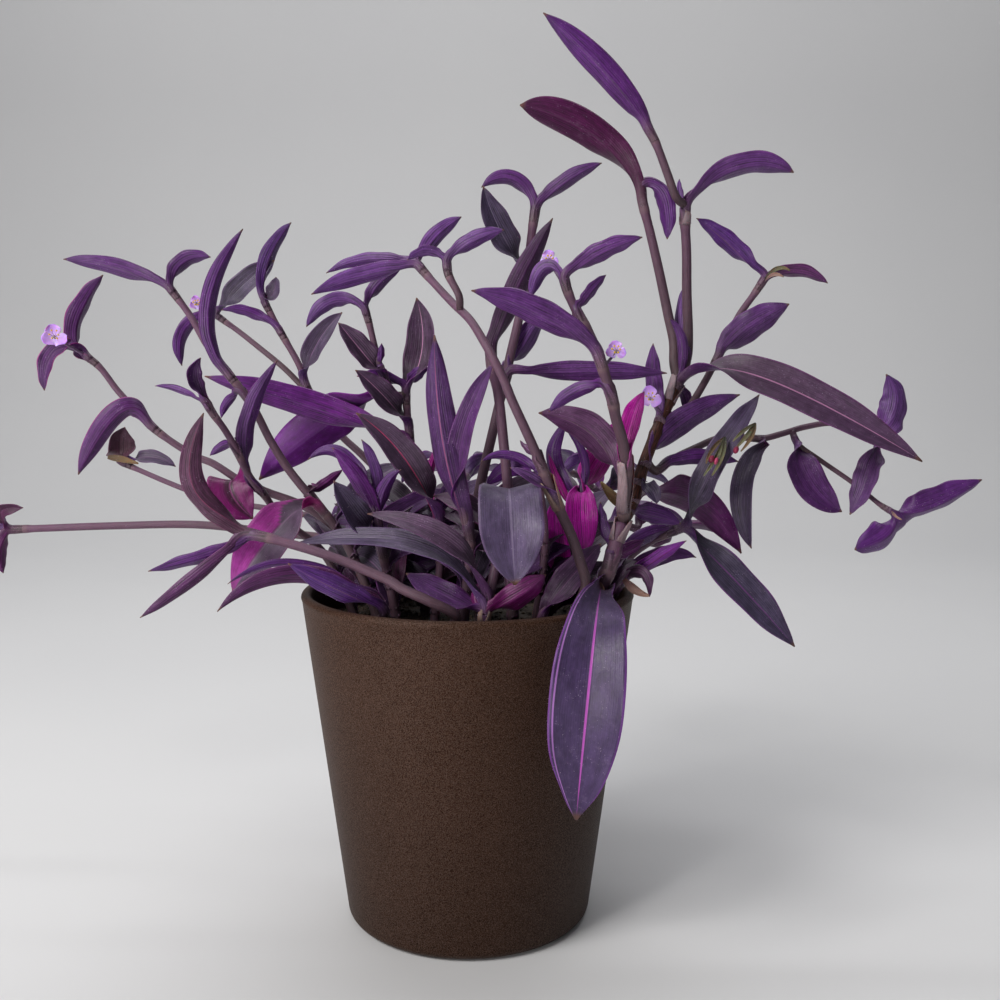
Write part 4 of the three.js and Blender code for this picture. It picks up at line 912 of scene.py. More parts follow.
def add_leaf(skin, shoot, joint, leaf, draw, woody, shape=USUAL_SHAPE, gain=1.0):
    """One leaf: the sheath that runs up round the stem, and the blade that opens out of it."""
    line = shoot["line"]
    width, fold, tone = leaf[8], leaf[10], leaf[12]
    growth = direction_at(line, joint)
    radius = stem_radius(shoot, joint)
    half_width = LEAF["width_gain"] * width / 2 * scale_at(line[joint][1] + leaf[4])
    place, along, up, outward, clasp = leaf_frames(line, joint, growth, leaf, radius)
    clasp_turn = LEAF["clasp_turn"] * (0.5 if woody else 1)
    clasp_width = clasp_turn * (radius + 0.45)
    wave = min(0.9, 0.05 * half_width + 0.15) * (0.5 + draw())
    beats, phases = 2.2 + 1.6 * draw(), (2 * math.pi * draw(), 2 * math.pi * draw())

    rings, across, shares, downy = [], [], [], []

    def ring(p, a, u, section, share, down):
        outline, s = section
        rings.append(section_at(p, a, u, outline))
        across.append(s)
        shares.append(share)
        downy.append(down + 0.8 * (np.abs(s) > LEAF["hairy_edge"]))

    sheath = sheath_length(radius) * (SHEATH["woody_share"] if woody else 1)
    for d in np.linspace(sheath, 0, LEAF["sheath_stations"], endpoint=False):
        i = max(0, int(round(joint - d)))
        a = direction_at(line, i)
        out = level(outward, a)
        rise = 1 - d / sheath
        r = radius + mix(0.12, 0.42, rise)
        turn = mix(SHEATH["turn"], clasp_turn, rise ** 2)
        section = blade_section(turn * r, turn, 0.0, SHEATH["thickness"], 0.0, (0, 0))
        ring(line[i] + out * r, a, -out, section, -0.1 * d / sheath, 0.5)
    steps = np.linalg.norm(np.diff(place, axis=0), axis=1)
    runs = np.concatenate([[0], np.cumsum(steps)])
    for k, share in enumerate(runs / runs[-1]):
        open_ = smooth(share / clasp)
        half = mix(clasp_width, half_width * leaf_outline(share, *shape), open_)
        curl = mix(clasp_turn, 0.012 * fold + 0.12, open_)
        keel = math.radians(1.1 * fold) * open_ * (1 - 0.35 * share)
        amount = wave * smooth((share - 0.1) / 0.25) * smooth((1 - share) / 0.12)
        ripple = [amount * math.sin(beats * 2 * math.pi * share + phase) for phase in phases]
        thick = mix(0.4, LEAF["thickness"], open_) * (1 - 0.5 * share ** 5)
        rib = LEAF["rib"] * open_ * (1 - share) ** 0.8 * min(1, half_width / 6)
        section = blade_section(half, curl, keel, thick, rib, ripple)
        ring(place[k], along[k], up[k], section, share, 0.12 * (1 - open_) + 0.06)

    s, share = np.array(across), np.array(shares)
    length = np.linalg.norm(place[-1] - place[0])
    tint, rib = leaf_colours(tone, s, share, gain, draw)
    run = share * length + LEAF["grain_offset"] * draw()
    grain = blade_grain(s, share[:, None], run[:, None])
    skin.add(rings, FLESH, tint, rib, grain, np.array(downy), 2 * half_width)


def leaf_colours(tone, s, share, gain, draw):
    """Tint and rib of a leaf's rings, which take the stem's colour down in the sheath."""
    upper, under, rib_colour, margin, rib_strength, margin_strength = TONES[tone]
    m = LEAF["across"]
    young = smooth((share + 0.1) / 0.22)[:, None, None]
    stem_tint = linear(mix(STEM_FOOT, STEM_TIP, 0.7))
    colour = np.concatenate([np.repeat(mix(stem_tint, deep(side), young), m, 1)
                             for side in (upper, under)], 1)
    if tone == "half_magenta":
        split = s < -0.9 * (1 - smooth((share[:, None] - 0.1) / 0.3))
        colour = mix(colour, linear(HALF_TONE), split[:, :, None] * young)
    if tone == "magenta_slit":
        split = 1 - smooth((np.abs(s + 0.05) - 0.14) / 0.1)
        colour = mix(colour, linear(CENTER_TONE), split[:, :, None] * young)
    fresh = (share[:, None, None] - 0.5) * (0.16, 0.0, 0.3)
    dry = 1 - LEAF["dry_end"] * (share ** 8)[:, None, None]
    colour = colour * (1 + fresh) * gain * mix(*LEAF["lightness"], draw()) * dry
    edge = np.abs(s)[:, :, None] > 0.6
    stripe = np.where(edge, linear(margin), linear(rib_colour))
    strength = np.where(edge, margin_strength, rib_strength) * young
    return two_sided(colour), np.concatenate([stripe, strength], 2)


def leafy_stem(name, shoots, lines):
    skin = Skin()
    draw = draws_for(name)
    for k, (root, _, _, _, leaves) in enumerate(shoots):
        shoot = lines[k]
        joints = [nearest_seen(shoot["line"], leaf[0], leaf[1]) for leaf in leaves]
        add_stem(skin, shoot, joints, WOODY.get((name, k)))
        for i, (joint, leaf) in enumerate(zip(joints, leaves)):
            shape = SHAPES.get((name, k, i), USUAL_SHAPE)
            add_leaf(skin, shoot, joint, leaf, draw, (name, k) in WOODY, shape)
        if k == 0 and root[1] > UNDERGROWTH["front"]:
            for leaf in undergrowth(shoot, draw):
                joint = nearest_seen(shoot["line"], leaf[0], leaf[1])
                # Painted shade: the undergrowth's gain dims these low leaves.
                add_leaf(skin, shoot, joint, leaf, draw, True, gain=UNDERGROWTH["gain"])
    return skin


# ------------------------------------------------------------------ dry sheaths, bracts and buds

def add_sheath(skin, shoot, low, high, facing, flare, tone, draw):
    """A papery sheath rolled round a stem from one seen place to another, torn along its top."""
    line = shoot["line"]
    first, last = sorted((nearest_seen(line, *low), nearest_seen(line, *high)))
    count = max(6, int((last - first) / 1.5))
    beats = [(2 + 3 * k, 2 * math.pi * draw(), (0.5 + draw()) / (1 + k)) for k in range(4)]
    rings, across = [], []
    shares = np.linspace(0, 1, count + 1)
    places = first + (last - first) * shares
    for share, place in zip(shares, places):
        i = min(int(round(place)), len(line) - 1)
        along = direction_at(line, i)
        out = turned(level(TO_EYE, along), along, math.radians(facing))
        radius = stem_radius(shoot, i) + 0.5 + flare * share ** 1.5
        turn = mix(3.0, 2.2, share)
        outline, s = blade_section(turn * radius, turn, 0.0, 0.3, 0.0, (0, 0))
        torn = sum(size * np.sin(beat * s + phase) for beat, phase, size in beats)
        ring = section_at(line[i] - out * radius, along, out, outline)
        rings.append(ring + along * (torn * 1.3 * share ** 3)[:, None])
        across.append(s)
    places = places[:, None]
    skin.add(rings, PAPER, paper_tint(tone, mix(0.25, 1, shares)),
             grain=blade_grain(np.array(across), places / 100, places), downy=0.25)


def add_bract(skin, base, middle, tip, width, roll, tone, draw):
    """A small dried leaf, bract or sepal between three seen places, rolled along its length."""
    count = 16
    t = np.linspace(0, 1, count + 1)
    place = leaf_spine(seen(*base), seen(*middle), seen(*tip), 0, t)
    along = np.gradient(place, axis=0)
    along /= np.linalg.norm(along, axis=1)[:, None]
    up = level(vec(0, -1, 0.3), along[count // 2])
    beat, phase = 4 + 4 * draw(), 6 * draw()
    rings, across = [], []
    for k, share in enumerate(t):
        up = level(up, along[k])
        half = width / 2 * math.sin(math.pi * (0.08 + 0.88 * share)) ** 0.7
        ripple = 0.25 * half * np.sin(beat * share + phase)
        outline, s = blade_section(half, roll * (0.6 + 0.4 * share), 0.0, 0.3, 0.0,
                                   (ripple, -ripple))
        rings.append(section_at(place[k], along[k], up, outline))
        across.append(s)
    length = np.linalg.norm(place[-1] - place[0])
    skin.add(rings, PAPER, paper_tint(tone, t),
             grain=blade_grain(np.array(across), t[:, None], (t * length)[:, None]), downy=0.2)


def add_bead(skin, place, direction, length, radius, slot, colour, sides=12, rings=9):
    """A closed egg of the given length, its axis along a direction."""
    direction = unit(direction)
    across = level(vec(0.3, 0.2, 1) if abs(direction[2]) < 0.9 else vec(1, 0, 0), direction)
    turns = np.linspace(0.12, math.pi - 0.12, rings)
    made = [ring_about(place + direction * (length / 2) * (1 - math.cos(a)), direction, across,
                       radius * math.sin(a), sides) for a in turns]
    skin.add(made, slot, with_alpha(colour),
             grain=ring_grain(sides, turns / math.pi, turns / math.pi * length), downy=0.1)


# ------------------------------------------------------------------ blooms

def add_petal(skin, centre, opening, side, radius, draw):
    lift, size = 0.15 + 0.45 * draw(), radius * (0.85 + 0.15 * draw())
    beat, phase = 5 + 4 * draw(), 6 * draw()
    t = np.linspace(0, 1, 17)
    rings, across = [], []
    for share in t:
        bend = lift * share ** 2 - 0.2 * lift * share ** 4
        place = centre + side * size * (0.06 + 0.94 * share) + opening * size * bend
        along = unit(side + opening * 2 * lift * share)
        half = size * BLOOM["petal_width"] * math.sin(math.pi * min(0.95, 0.1 + 0.8 * share))
        wave = BLOOM["wave"] * half * share
        ripple = (wave * math.sin(beat * share + phase), wave * math.cos(beat * share + phase))
        outline, s = blade_section(half, BLOOM["petal_curl"], 0.0, BLOOM["petal_thickness"], 0.0,
                                   ripple)
        rings.append(section_at(place, along, level(opening, along), outline))
        across.append(s)
    s = np.array(across)
    foot, rim = linear(BLOOM_TONES["petal_foot"]), linear(BLOOM_TONES["petal_rim"])
    colour = np.broadcast_to(mix(foot, rim, t[:, None])[:, None, :], s.shape + (3,))
    tint = np.concatenate([colour, np.zeros(s.shape + (1,))], 2)
    skin.add(rings, PETAL, tint, grain=blade_grain(s, t[:, None], (t * radius)[:, None]))


def add_stamen(skin, centre, opening, side, radius, draw):
    tip = centre + (opening * 0.62 + side * 0.34) * radius * (0.8 + 0.3 * draw())
    mid = centre + (opening * 0.34 + side * 0.14) * radius
    path = [centre * (1 - t) ** 2 + 2 * mid * t * (1 - t) + tip * t * t
            for t in np.linspace(0, 1, 7)]
    tube(skin, path, [BLOOM["stamen_radius"]] * 7, 6, CALYX, with_alpha(BLOOM_TONES["stamen"]),
         downy=3.0)
    add_bead(skin, tip - side * 0.5, side, BLOOM["anther_length"], BLOOM["anther_radius"], ANTHER,
             BLOOM_TONES["anther"], 8, 6)


def bloom(name, shoot, hx, hz, cx, cz, depth, radius):
    """A bloom on its stalk, from where it grows on a shoot."""
    skin = Skin()
    draw = draws_for(name)
    joint = nearest_seen(shoot["line"], hx, hz)
    foot = shoot["line"][joint]
    centre = seen(cx, cz, foot[1] + depth)
    start = foot + unit(centre - foot) * (stem_radius(shoot, joint) + 0.1)
    eye = unit(vec(EYE["x"], -EYE["distance"], EYE["z"]) - centre)
    opening = unit(eye + SKY * 0.35)
    steps = np.linspace(0, 1, 12)
    tube(skin, [mix(start, centre - opening * 0.8, t) for t in steps],
         [BLOOM["stalk_radius"] * (0.8 + 0.4 * abs(t - 0.5)) for t in steps],
         9, CALYX, with_alpha(BLOOM_TONES["stalk"]), downy=0.8)
    add_bead(skin, centre - opening * 1.6, opening, BLOOM["heart_length"], BLOOM["heart_radius"],
             CALYX, BLOOM_TONES["heart"])
    first = level(SKY, opening)
    petals = BLOOM["petals"]
    for k in range(petals):
        side = turned(first, opening, k * 2 * math.pi / petals + 0.5 * (draw() - 0.5))
        add_petal(skin, centre, opening, side, radius, draw)
    for k in range(2 * petals):
        side = turned(first, opening, (k + 0.5) * math.pi / petals)
        add_stamen(skin, centre, opening, side, radius, draw)
    return skin


# ------------------------------------------------------------------ pot and soil

def pot_radius(z):
    return mix(POT["base_radius"], POT["rim_radius"], z / POT["height"])


def lathe(profile, sides):
    """Rings about the upright axis; the profile runs so that its left side is the outside."""
    turn = 2 * math.pi * np.arange(sides) / sides
    rings = []
    for radius, z in profile:
        rings.append(np.stack([radius * np.cos(turn), radius * np.sin(turn), np.full(sides, z)], 1))
    return np.array(rings)


def pot_profile():
    """Radius and height from the foot's middle up the outside, over the lip and down inside."""
    foot, lip, floor, height = POT["foot_round"], POT["lip_round"], POT["floor"], POT["height"]
    points = [(r, 0) for r in (0.5, 15, 30, 45, POT["base_radius"] - foot - 2)]
    for a in np.linspace(0, math.pi / 2, 9):
        z = foot * (1 - math.cos(a))
        points.append((pot_radius(z) - foot + foot * math.sin(a), z))
    points += [(pot_radius(z), z) for z in np.linspace(foot + 5, height - lip - 1.5, 34)]
    points += [(POT["rim_radius"] - lip + lip * math.cos(a), height - lip + lip * math.sin(a))
               for a in np.linspace(0, math.pi, 15)]
    points += [(pot_radius(z) - POT["wall"], z)
               for z in np.linspace(height - lip - 4, floor + 2, 20)]
    inner = pot_radius(floor) - POT["wall"]
    return points + [(inner - 1, floor), (inner / 2, floor), (0.5, floor)]


def grid_mesh(name, rings, material):
    """A closed mesh from rings, its two ends capped."""
    n, m = rings.shape[:2]
    return new_mesh(name, rings.reshape(-1, 3), grid_faces(n, m), [material])


def soil_rings(sides):
    """The filling, with a crowned and lumpy top."""
    inner = POT["wall"] + SOIL["gap"]
    low, top = POT["floor"] + 1, SOIL["top"]
    edge = pot_radius(top) - inner
    profile = [(0.5, low)] + [(pot_radius(z) - inner, z) for z in (low, 50, 100, 140)]
    profile += [(edge, top)]
    flat = len(profile)
    profile += [(edge * r, top + SOIL["crown"] * (1 - r * r)) for r in np.linspace(0.985, 0.01, 56)]
    rings = lathe(profile, sides)
    x, y = rings[flat:, :, 0], rings[flat:, :, 1]
    lumps = np.zeros_like(x)
    draw = Draws(5)
    for k in range(26):
        pitch, turn = 0.09 * 1.17 ** k, 2 * math.pi * draw()
        wave = (x * math.cos(turn) + y * math.sin(turn)) * pitch + 6.28 * draw()
        lumps += np.sin(wave) / (1 + 0.35 * k)
    rings[flat:, :, 2] += 0.85 * np.clip(lumps, -2, 2.2)
    return rings


# ------------------------------------------------------------------ materials

def new_tree(name):
    material = bpy.data.materials.new(name)
    material.use_nodes = True
    tree = material.node_tree
    tree.nodes.clear()
    out = tree.nodes.new("ShaderNodeOutputMaterial")
    shader = tree.nodes.new("ShaderNodeBsdfPrincipled")
    tree.links.new(shader.outputs[0], out.inputs["Surface"])
    return material, tree, shader


def node(tree, kind, inputs=None, **settings):
    made = tree.nodes.new(kind)
    for key, value in settings.items():
        setattr(made, key, value)
    for key, value in (inputs or {}).items():
        if isinstance(value, bpy.types.NodeSocket):
            tree.links.new(value, made.inputs[key])
        else:
            made.inputs[key].default_value = value
    return made


def math_node(tree, operation, *values):
    return node(tree, "ShaderNodeMath", dict(enumerate(values)), operation=operation).outputs[0]


def times(tree, a, b):
    return math_node(tree, "MULTIPLY", a, b)


def off_middle(tree, value, middle=0.5):
    """How far a value lies from a middle, either way."""
    return math_node(tree, "ABSOLUTE", math_node(tree, "SUBTRACT", value, middle))


def vary(tree, gain, pattern, amount):
    """A gain raised and lowered by a pattern of 0 to 1."""
    return math_node(tree, "MULTIPLY_ADD", math_node(tree, "SUBTRACT", pattern, 0.5), amount, gain)


def ramp(tree, value, low, high, to_low=0.0, to_high=1.0):
    sizes = {"From Min": low, "From Max": high, "To Min": to_low, "To Max": to_high}
    return node(tree, "ShaderNodeMapRange", {"Value": value, **sizes},
                interpolation_type="SMOOTHSTEP").outputs[0]


def blend(tree, factor, a, b):
    """Mixes two colours; each is a socket or a display colour."""
    made = node(tree, "ShaderNodeMix", {"Factor": factor}, data_type="RGBA", clamp_factor=True)
    for socket, value in ((made.inputs[6], a), (made.inputs[7], b)):
        if isinstance(value, bpy.types.NodeSocket):
            tree.links.new(value, socket)
        else:
            socket.default_value = (*linear(value), 1)
    return made.outputs[2]


def attribute(tree, key):
    return node(tree, "ShaderNodeAttribute", attribute_name=key)


def noise(tree, place, scale, detail=2.0, rough=0.5):
    return node(tree, "ShaderNodeTexNoise", {"Vector": place, "Scale": scale, "Detail": detail,
                                             "Roughness": rough}).outputs[0]


def object_place(tree):
    return node(tree, "ShaderNodeTexCoord").outputs["Object"]


def scaled(tree, place, x, y, z):
    return node(tree, "ShaderNodeVectorMath", {0: place, 1: (x, y, z)},
                operation="MULTIPLY").outputs[0]


def scale_by(tree, value, gain):
    """A colour or a direction times a number."""
    return node(tree, "ShaderNodeVectorMath", {0: value, "Scale": gain},
                operation="SCALE").outputs[0]


def finish_surface(tree, shader, colour, roughness, bump=None, strength=0.3, distance=0.0004,
                   sockets=()):
    """Links the colour, roughness and bump, and sets the shader's own sockets."""
    tree.links.new(colour, shader.inputs["Base Color"])
    tree.links.new(roughness, shader.inputs["Roughness"])
    if bump is not None:
        made = node(tree, "ShaderNodeBump",
                    {"Height": bump, "Strength": strength, "Distance": distance})
        tree.links.new(made.outputs[0], shader.inputs["Normal"])
    for key, value in dict(sockets).items():
        shader.inputs[key].default_value = value


def flesh_material():
    """Leaf flesh: veins, a pale midrib and a coloured margin, blotched, dusty, dry at the tip."""
    material, tree, shader = new_tree("leaf flesh")
    tint, rib, grain = attribute(tree, "tint"), attribute(tree, "rib"), attribute(tree, "grain")
    grain = grain.outputs["Vector"]
    place = object_place(tree)
    across, share, _ = node(tree, "ShaderNodeSeparateXYZ", {0: grain}).outputs
    wander = noise(tree, place, 60, 2)
    off = off_middle(tree, across)
    breadth = attribute(tree, "breadth").outputs["Fac"]
    flat = times(tree, math_node(tree, "SUBTRACT", across, 0.5), breadth)

    def veins(spacing, sharp):
        """Lines along the blade, at a real spacing in millimetres."""
        lane = math_node(tree, "MULTIPLY_ADD", wander, 0.8,
                         math_node(tree, "DIVIDE", flat, spacing))
        wave = off_middle(tree, math_node(tree, "FRACT", lane))
        return ramp(tree, wave, 0.0, sharp, 1.0, 0.0)

    calm = ramp(tree, breadth, 17, 23, 1.0, 0.3)
    broad = times(tree, veins(2.3, 0.2), calm)
    fine = times(tree, veins(1.05, 0.4), calm)
    streak = noise(tree, scaled(tree, grain, 44, 0, 0.3), 1, 4, 0.7)
    patch = noise(tree, scaled(tree, grain, 7, 0, 0.13), 1, 3, 0.6)
    blotch = noise(tree, place, 110, 4, 0.6)
    mottle = noise(tree, place, 420, 3, 0.6)
    gain = math_node(tree, "MULTIPLY_ADD", blotch, 0.9, 0.6)
    gain = math_node(tree, "MULTIPLY_ADD", mottle, 0.3, gain)
    gain = vary(tree, vary(tree, gain, streak, 0.9), patch, 1.6)
    depth = ramp(tree, tint.outputs["Alpha"], 0, 1, 0.3, 0.36)
    gain = math_node(tree, "SUBTRACT", gain, times(tree, broad, depth))
    gain = math_node(tree, "SUBTRACT", gain, times(tree, fine, 0.4))
    colour = scale_by(tree, tint.outputs["Color"], gain)
    dull = times(tree, ramp(tree, mottle, 0.5, 0.8), ramp(tree, blotch, 0.4, 0.65))
    colour = blend(tree, times(tree, dull, 0.22), colour, DULL_TONE)

    rib_colour, strength = rib.outputs["Color"], rib.outputs["Alpha"]
    center = math_node(tree, "DIVIDE", off, ramp(tree, share, 0.0, 1.0, 0.026, 0.022))
    stripe = times(tree, ramp(tree, center, 0.35, 1.0, 1.0, 0.0), strength)
    stripe = times(tree, stripe, ramp(tree, share, 0.85, 1.0, 0.8, 0.3))
    stripe = times(tree, stripe, ramp(tree, share, 0.0, 0.4, 0.35, 1.0))
    colour = blend(tree, stripe, colour, rib_colour)
    edge = times(tree, ramp(tree, off, 0.46, 0.49, 0.0, 0.6), strength)
    colour = blend(tree, edge, colour, rib_colour)
    inner = times(tree, ramp(tree, off_middle(tree, across, 0.065), 0.006, 0.016, 0.8, 0.0),
                  ramp(tree, strength, 0.93, 0.98))
    colour = blend(tree, inner, colour, INNER_LINE_TONE)

    dust = node(tree, "ShaderNodeTexVoronoi", {"Vector": place, "Scale": 800.0})
    speck = ramp(tree, dust.outputs["Distance"], 0.06, 0.17, 1.0, 0.0)
    speck = times(tree, speck, ramp(tree, blotch, 0.45, 0.65, 0.0, 0.7))
    colour = blend(tree, ramp(tree, share, 0.955, 0.99), colour, DRY_TONE)
    colour = blend(tree, speck, colour, DUST_TONE)
    rough = math_node(tree, "MULTIPLY_ADD", mottle, 0.22, 0.34)
    rough = math_node(tree, "MULTIPLY_ADD", speck, 0.3, rough)
    height = math_node(tree, "MULTIPLY_ADD", fine, -0.35, mottle)
    height = math_node(tree, "MULTIPLY_ADD", broad, -0.3, height)
    finish_surface(tree, shader, colour, rough, height, 0.4, 0.0005, {
        "Subsurface Weight": 0.12, "Subsurface Scale": 0.002,
        "Subsurface Radius": (1.0, 0.35, 0.9), "Specular IOR Level": 0.36,
        "Sheen Weight": 0.05, "Sheen Roughness": 0.4, "Sheen Tint": (0.86, 0.8, 1.0, 1.0)})
    return material


def bark_material():
    """Stem skin: fine lines along it, stronger on the woody stem, and pale rings at the nodes."""
    material, tree, shader = new_tree("stem skin")
    tint, rib, grain = attribute(tree, "tint"), attribute(tree, "rib"), attribute(tree, "grain")
    lines = noise(tree, scaled(tree, grain.outputs["Vector"], 9, 0, 0.05), 3, 3, 0.6)
    mottle = noise(tree, object_place(tree), 300, 3, 0.6)
    contrast = ramp(tree, tint.outputs["Alpha"], 0, 1, 0.9, 6.0)
    gain = vary(tree, vary(tree, 1.0, lines, contrast), mottle, 0.5)
    colour = scale_by(tree, tint.outputs["Color"], math_node(tree, "MAXIMUM", gain, 0.15))
    colour = blend(tree, times(tree, rib.outputs["Alpha"], 0.4), colour, rib.outputs["Color"])
    rough = ramp(tree, mottle, 0.2, 0.8, 0.4, 0.62)
    finish_surface(tree, shader, colour, rough, lines, 0.4, 0.0006, {
        "Specular IOR Level": 0.3, "Subsurface Weight": 0.08, "Subsurface Scale": 0.002})
    return material


def paper_material():
    """Dry sheaths and bracts: streaked along and blotched."""
    material, tree, shader = new_tree("dry paper")
    tint, grain = attribute(tree, "tint"), attribute(tree, "grain")
    lines = noise(tree, scaled(tree, grain.outputs["Vector"], 16, 0, 0.06), 3, 4, 0.65)
    blotch = noise(tree, object_place(tree), 200, 4, 0.65)
    gain = vary(tree, math_node(tree, "MULTIPLY_ADD", lines, 1.7, 0.1), blotch, 1.0)
    colour = scale_by(tree, tint.outputs["Color"], gain)
    rough = ramp(tree, blotch, 0.2, 0.8, 0.5, 0.8)
    finish_surface(tree, shader, colour, rough, lines, 0.5, 0.0005,
                   {"Subsurface Weight": 0.2, "Subsurface Scale": 0.002})
    return material


def petal_material():
    material, tree, shader = new_tree("petal")
    tint, grain = attribute(tree, "tint"), attribute(tree, "grain")
    lines = noise(tree, scaled(tree, grain.outputs["Vector"], 12, 0.6, 0), 3, 3, 0.6)
    blotch = noise(tree, object_place(tree), 350, 2)
    gain = vary(tree, math_node(tree, "MULTIPLY_ADD", lines, 0.4, 0.8), blotch, 0.25)
    colour = scale_by(tree, tint.outputs["Color"], gain)
    rough = ramp(tree, blotch, 0.2, 0.8, 0.45, 0.65)
    finish_surface(tree, shader, colour, rough, lines, 0.3, 0.0003,
                   {"Subsurface Weight": 0.25, "Subsurface Scale": 0.002})
    return material


def calyx_material():
    """Stalks, bloom hearts and buds: six soft stripes round, mottled."""
    material, tree, shader = new_tree("bud skin")
    tint, grain = attribute(tree, "tint"), attribute(tree, "grain")
    round_share = node(tree, "ShaderNodeSeparateXYZ", {0: grain.outputs["Vector"]}).outputs[0]
    lane = math_node(tree, "FRACT", times(tree, round_share, 6))
    stripe = ramp(tree, off_middle(tree, lane), 0.1, 0.3)
    mottle = noise(tree, object_place(tree), 500, 3)
    gain = vary(tree, math_node(tree, "MULTIPLY_ADD", stripe, 0.35, 0.7), mottle, 1.6)
    colour = scale_by(tree, tint.outputs["Color"], gain)
    rough = ramp(tree, mottle, 0.2, 0.8, 0.4, 0.6)
    finish_surface(tree, shader, colour, rough, mottle, 0.3, 0.0003)
    return material


def anther_material():
    material, tree, shader = new_tree("pollen")
    tint = attribute(tree, "tint")
    grains = node(tree, "ShaderNodeTexVoronoi", {"Vector": object_place(tree), "Scale": 4000.0})
    gain = ramp(tree, grains.outputs["Distance"], 0.0, 0.7, 1.15, 0.7)
    colour = scale_by(tree, tint.outputs["Color"], gain)
    rough = ramp(tree, grains.outputs["Distance"], 0, 0.7, 0.6, 0.9)
    finish_surface(tree, shader, colour, rough, gain, 0.5, 0.0002)
    return material


def pot_material():
    """Brown pot skin: grainy, specked, with painted shade darker to its foot, and fine glints."""
    material, tree, shader = new_tree("brown pot")
    place = object_place(tree)
    cloud = noise(tree, place, 22, 3, 0.5)
    grain = noise(tree, place, 1000, 3, 0.7)
    fleck = noise(tree, place, 2400, 2, 0.6)
    dark_spot = noise(tree, place, 1500, 1, 0.5)
    shade = blend(tree, ramp(tree, cloud, 0.25, 0.75), *POT_TONES)
    gain = vary(tree, vary(tree, 1.0, grain, 1.6), fleck, 2.4)
    gain = math_node(tree, "SUBTRACT", gain, ramp(tree, dark_spot, 0.62, 0.72, 0.0, 0.4))
    # Painted shade: the colour darkens from the pot's top down to its foot.
    height_share = node(tree, "ShaderNodeSeparateXYZ", {0: place}).outputs[2]
    shade = scale_by(tree, shade, ramp(tree, height_share, 0.0, POT["height"] * MM, 0.66, 1.02))
    colour = scale_by(tree, shade, math_node(tree, "MAXIMUM", gain, 0.2))
    rough = ramp(tree, fleck, 0.35, 0.65, 0.46, 0.62)
    height = math_node(tree, "MULTIPLY_ADD", fleck, 0.8, grain)
    finish_surface(tree, shader, colour, rough, height, 0.5, 0.00026,
                   {"Specular Tint": (1.0, 0.76, 0.68, 1.0)})
    glint = ramp(tree, fleck, 0.42, 0.62, 0.06, 0.62)
    tree.links.new(glint, shader.inputs["Specular IOR Level"])
    return material


def soil_material(name, tones):
    material, tree, shader = new_tree(name)
    place = object_place(tree)
    clod = noise(tree, place, 160, 5, 0.7)
    crumb = noise(tree, place, 700, 3, 0.7)
    colour = blend(tree, ramp(tree, clod, 0.35, 0.7), *tones)
    colour = scale_by(tree, colour, ramp(tree, crumb, 0.2, 0.8, 0.4, 1.5))
    rough = ramp(tree, crumb, 0.2, 0.8, 0.75, 1.0)
    height = math_node(tree, "MULTIPLY_ADD", crumb, 0.5, clod)
    finish_surface(tree, shader, colour, rough, height, 0.8, 0.0015)
    return material


def plain_material(name, scale, detail, tones, rough):
    """Two tones and two roughnesses, clouded into each other."""
    material, tree, shader = new_tree(name)
    tone = noise(tree, object_place(tree), scale, detail)
    finish_surface(tree, shader, blend(tree, tone, *tones), ramp(tree, tone, 0.2, 0.8, *rough))
    return material


# ------------------------------------------------------------------ hairs and crumbs

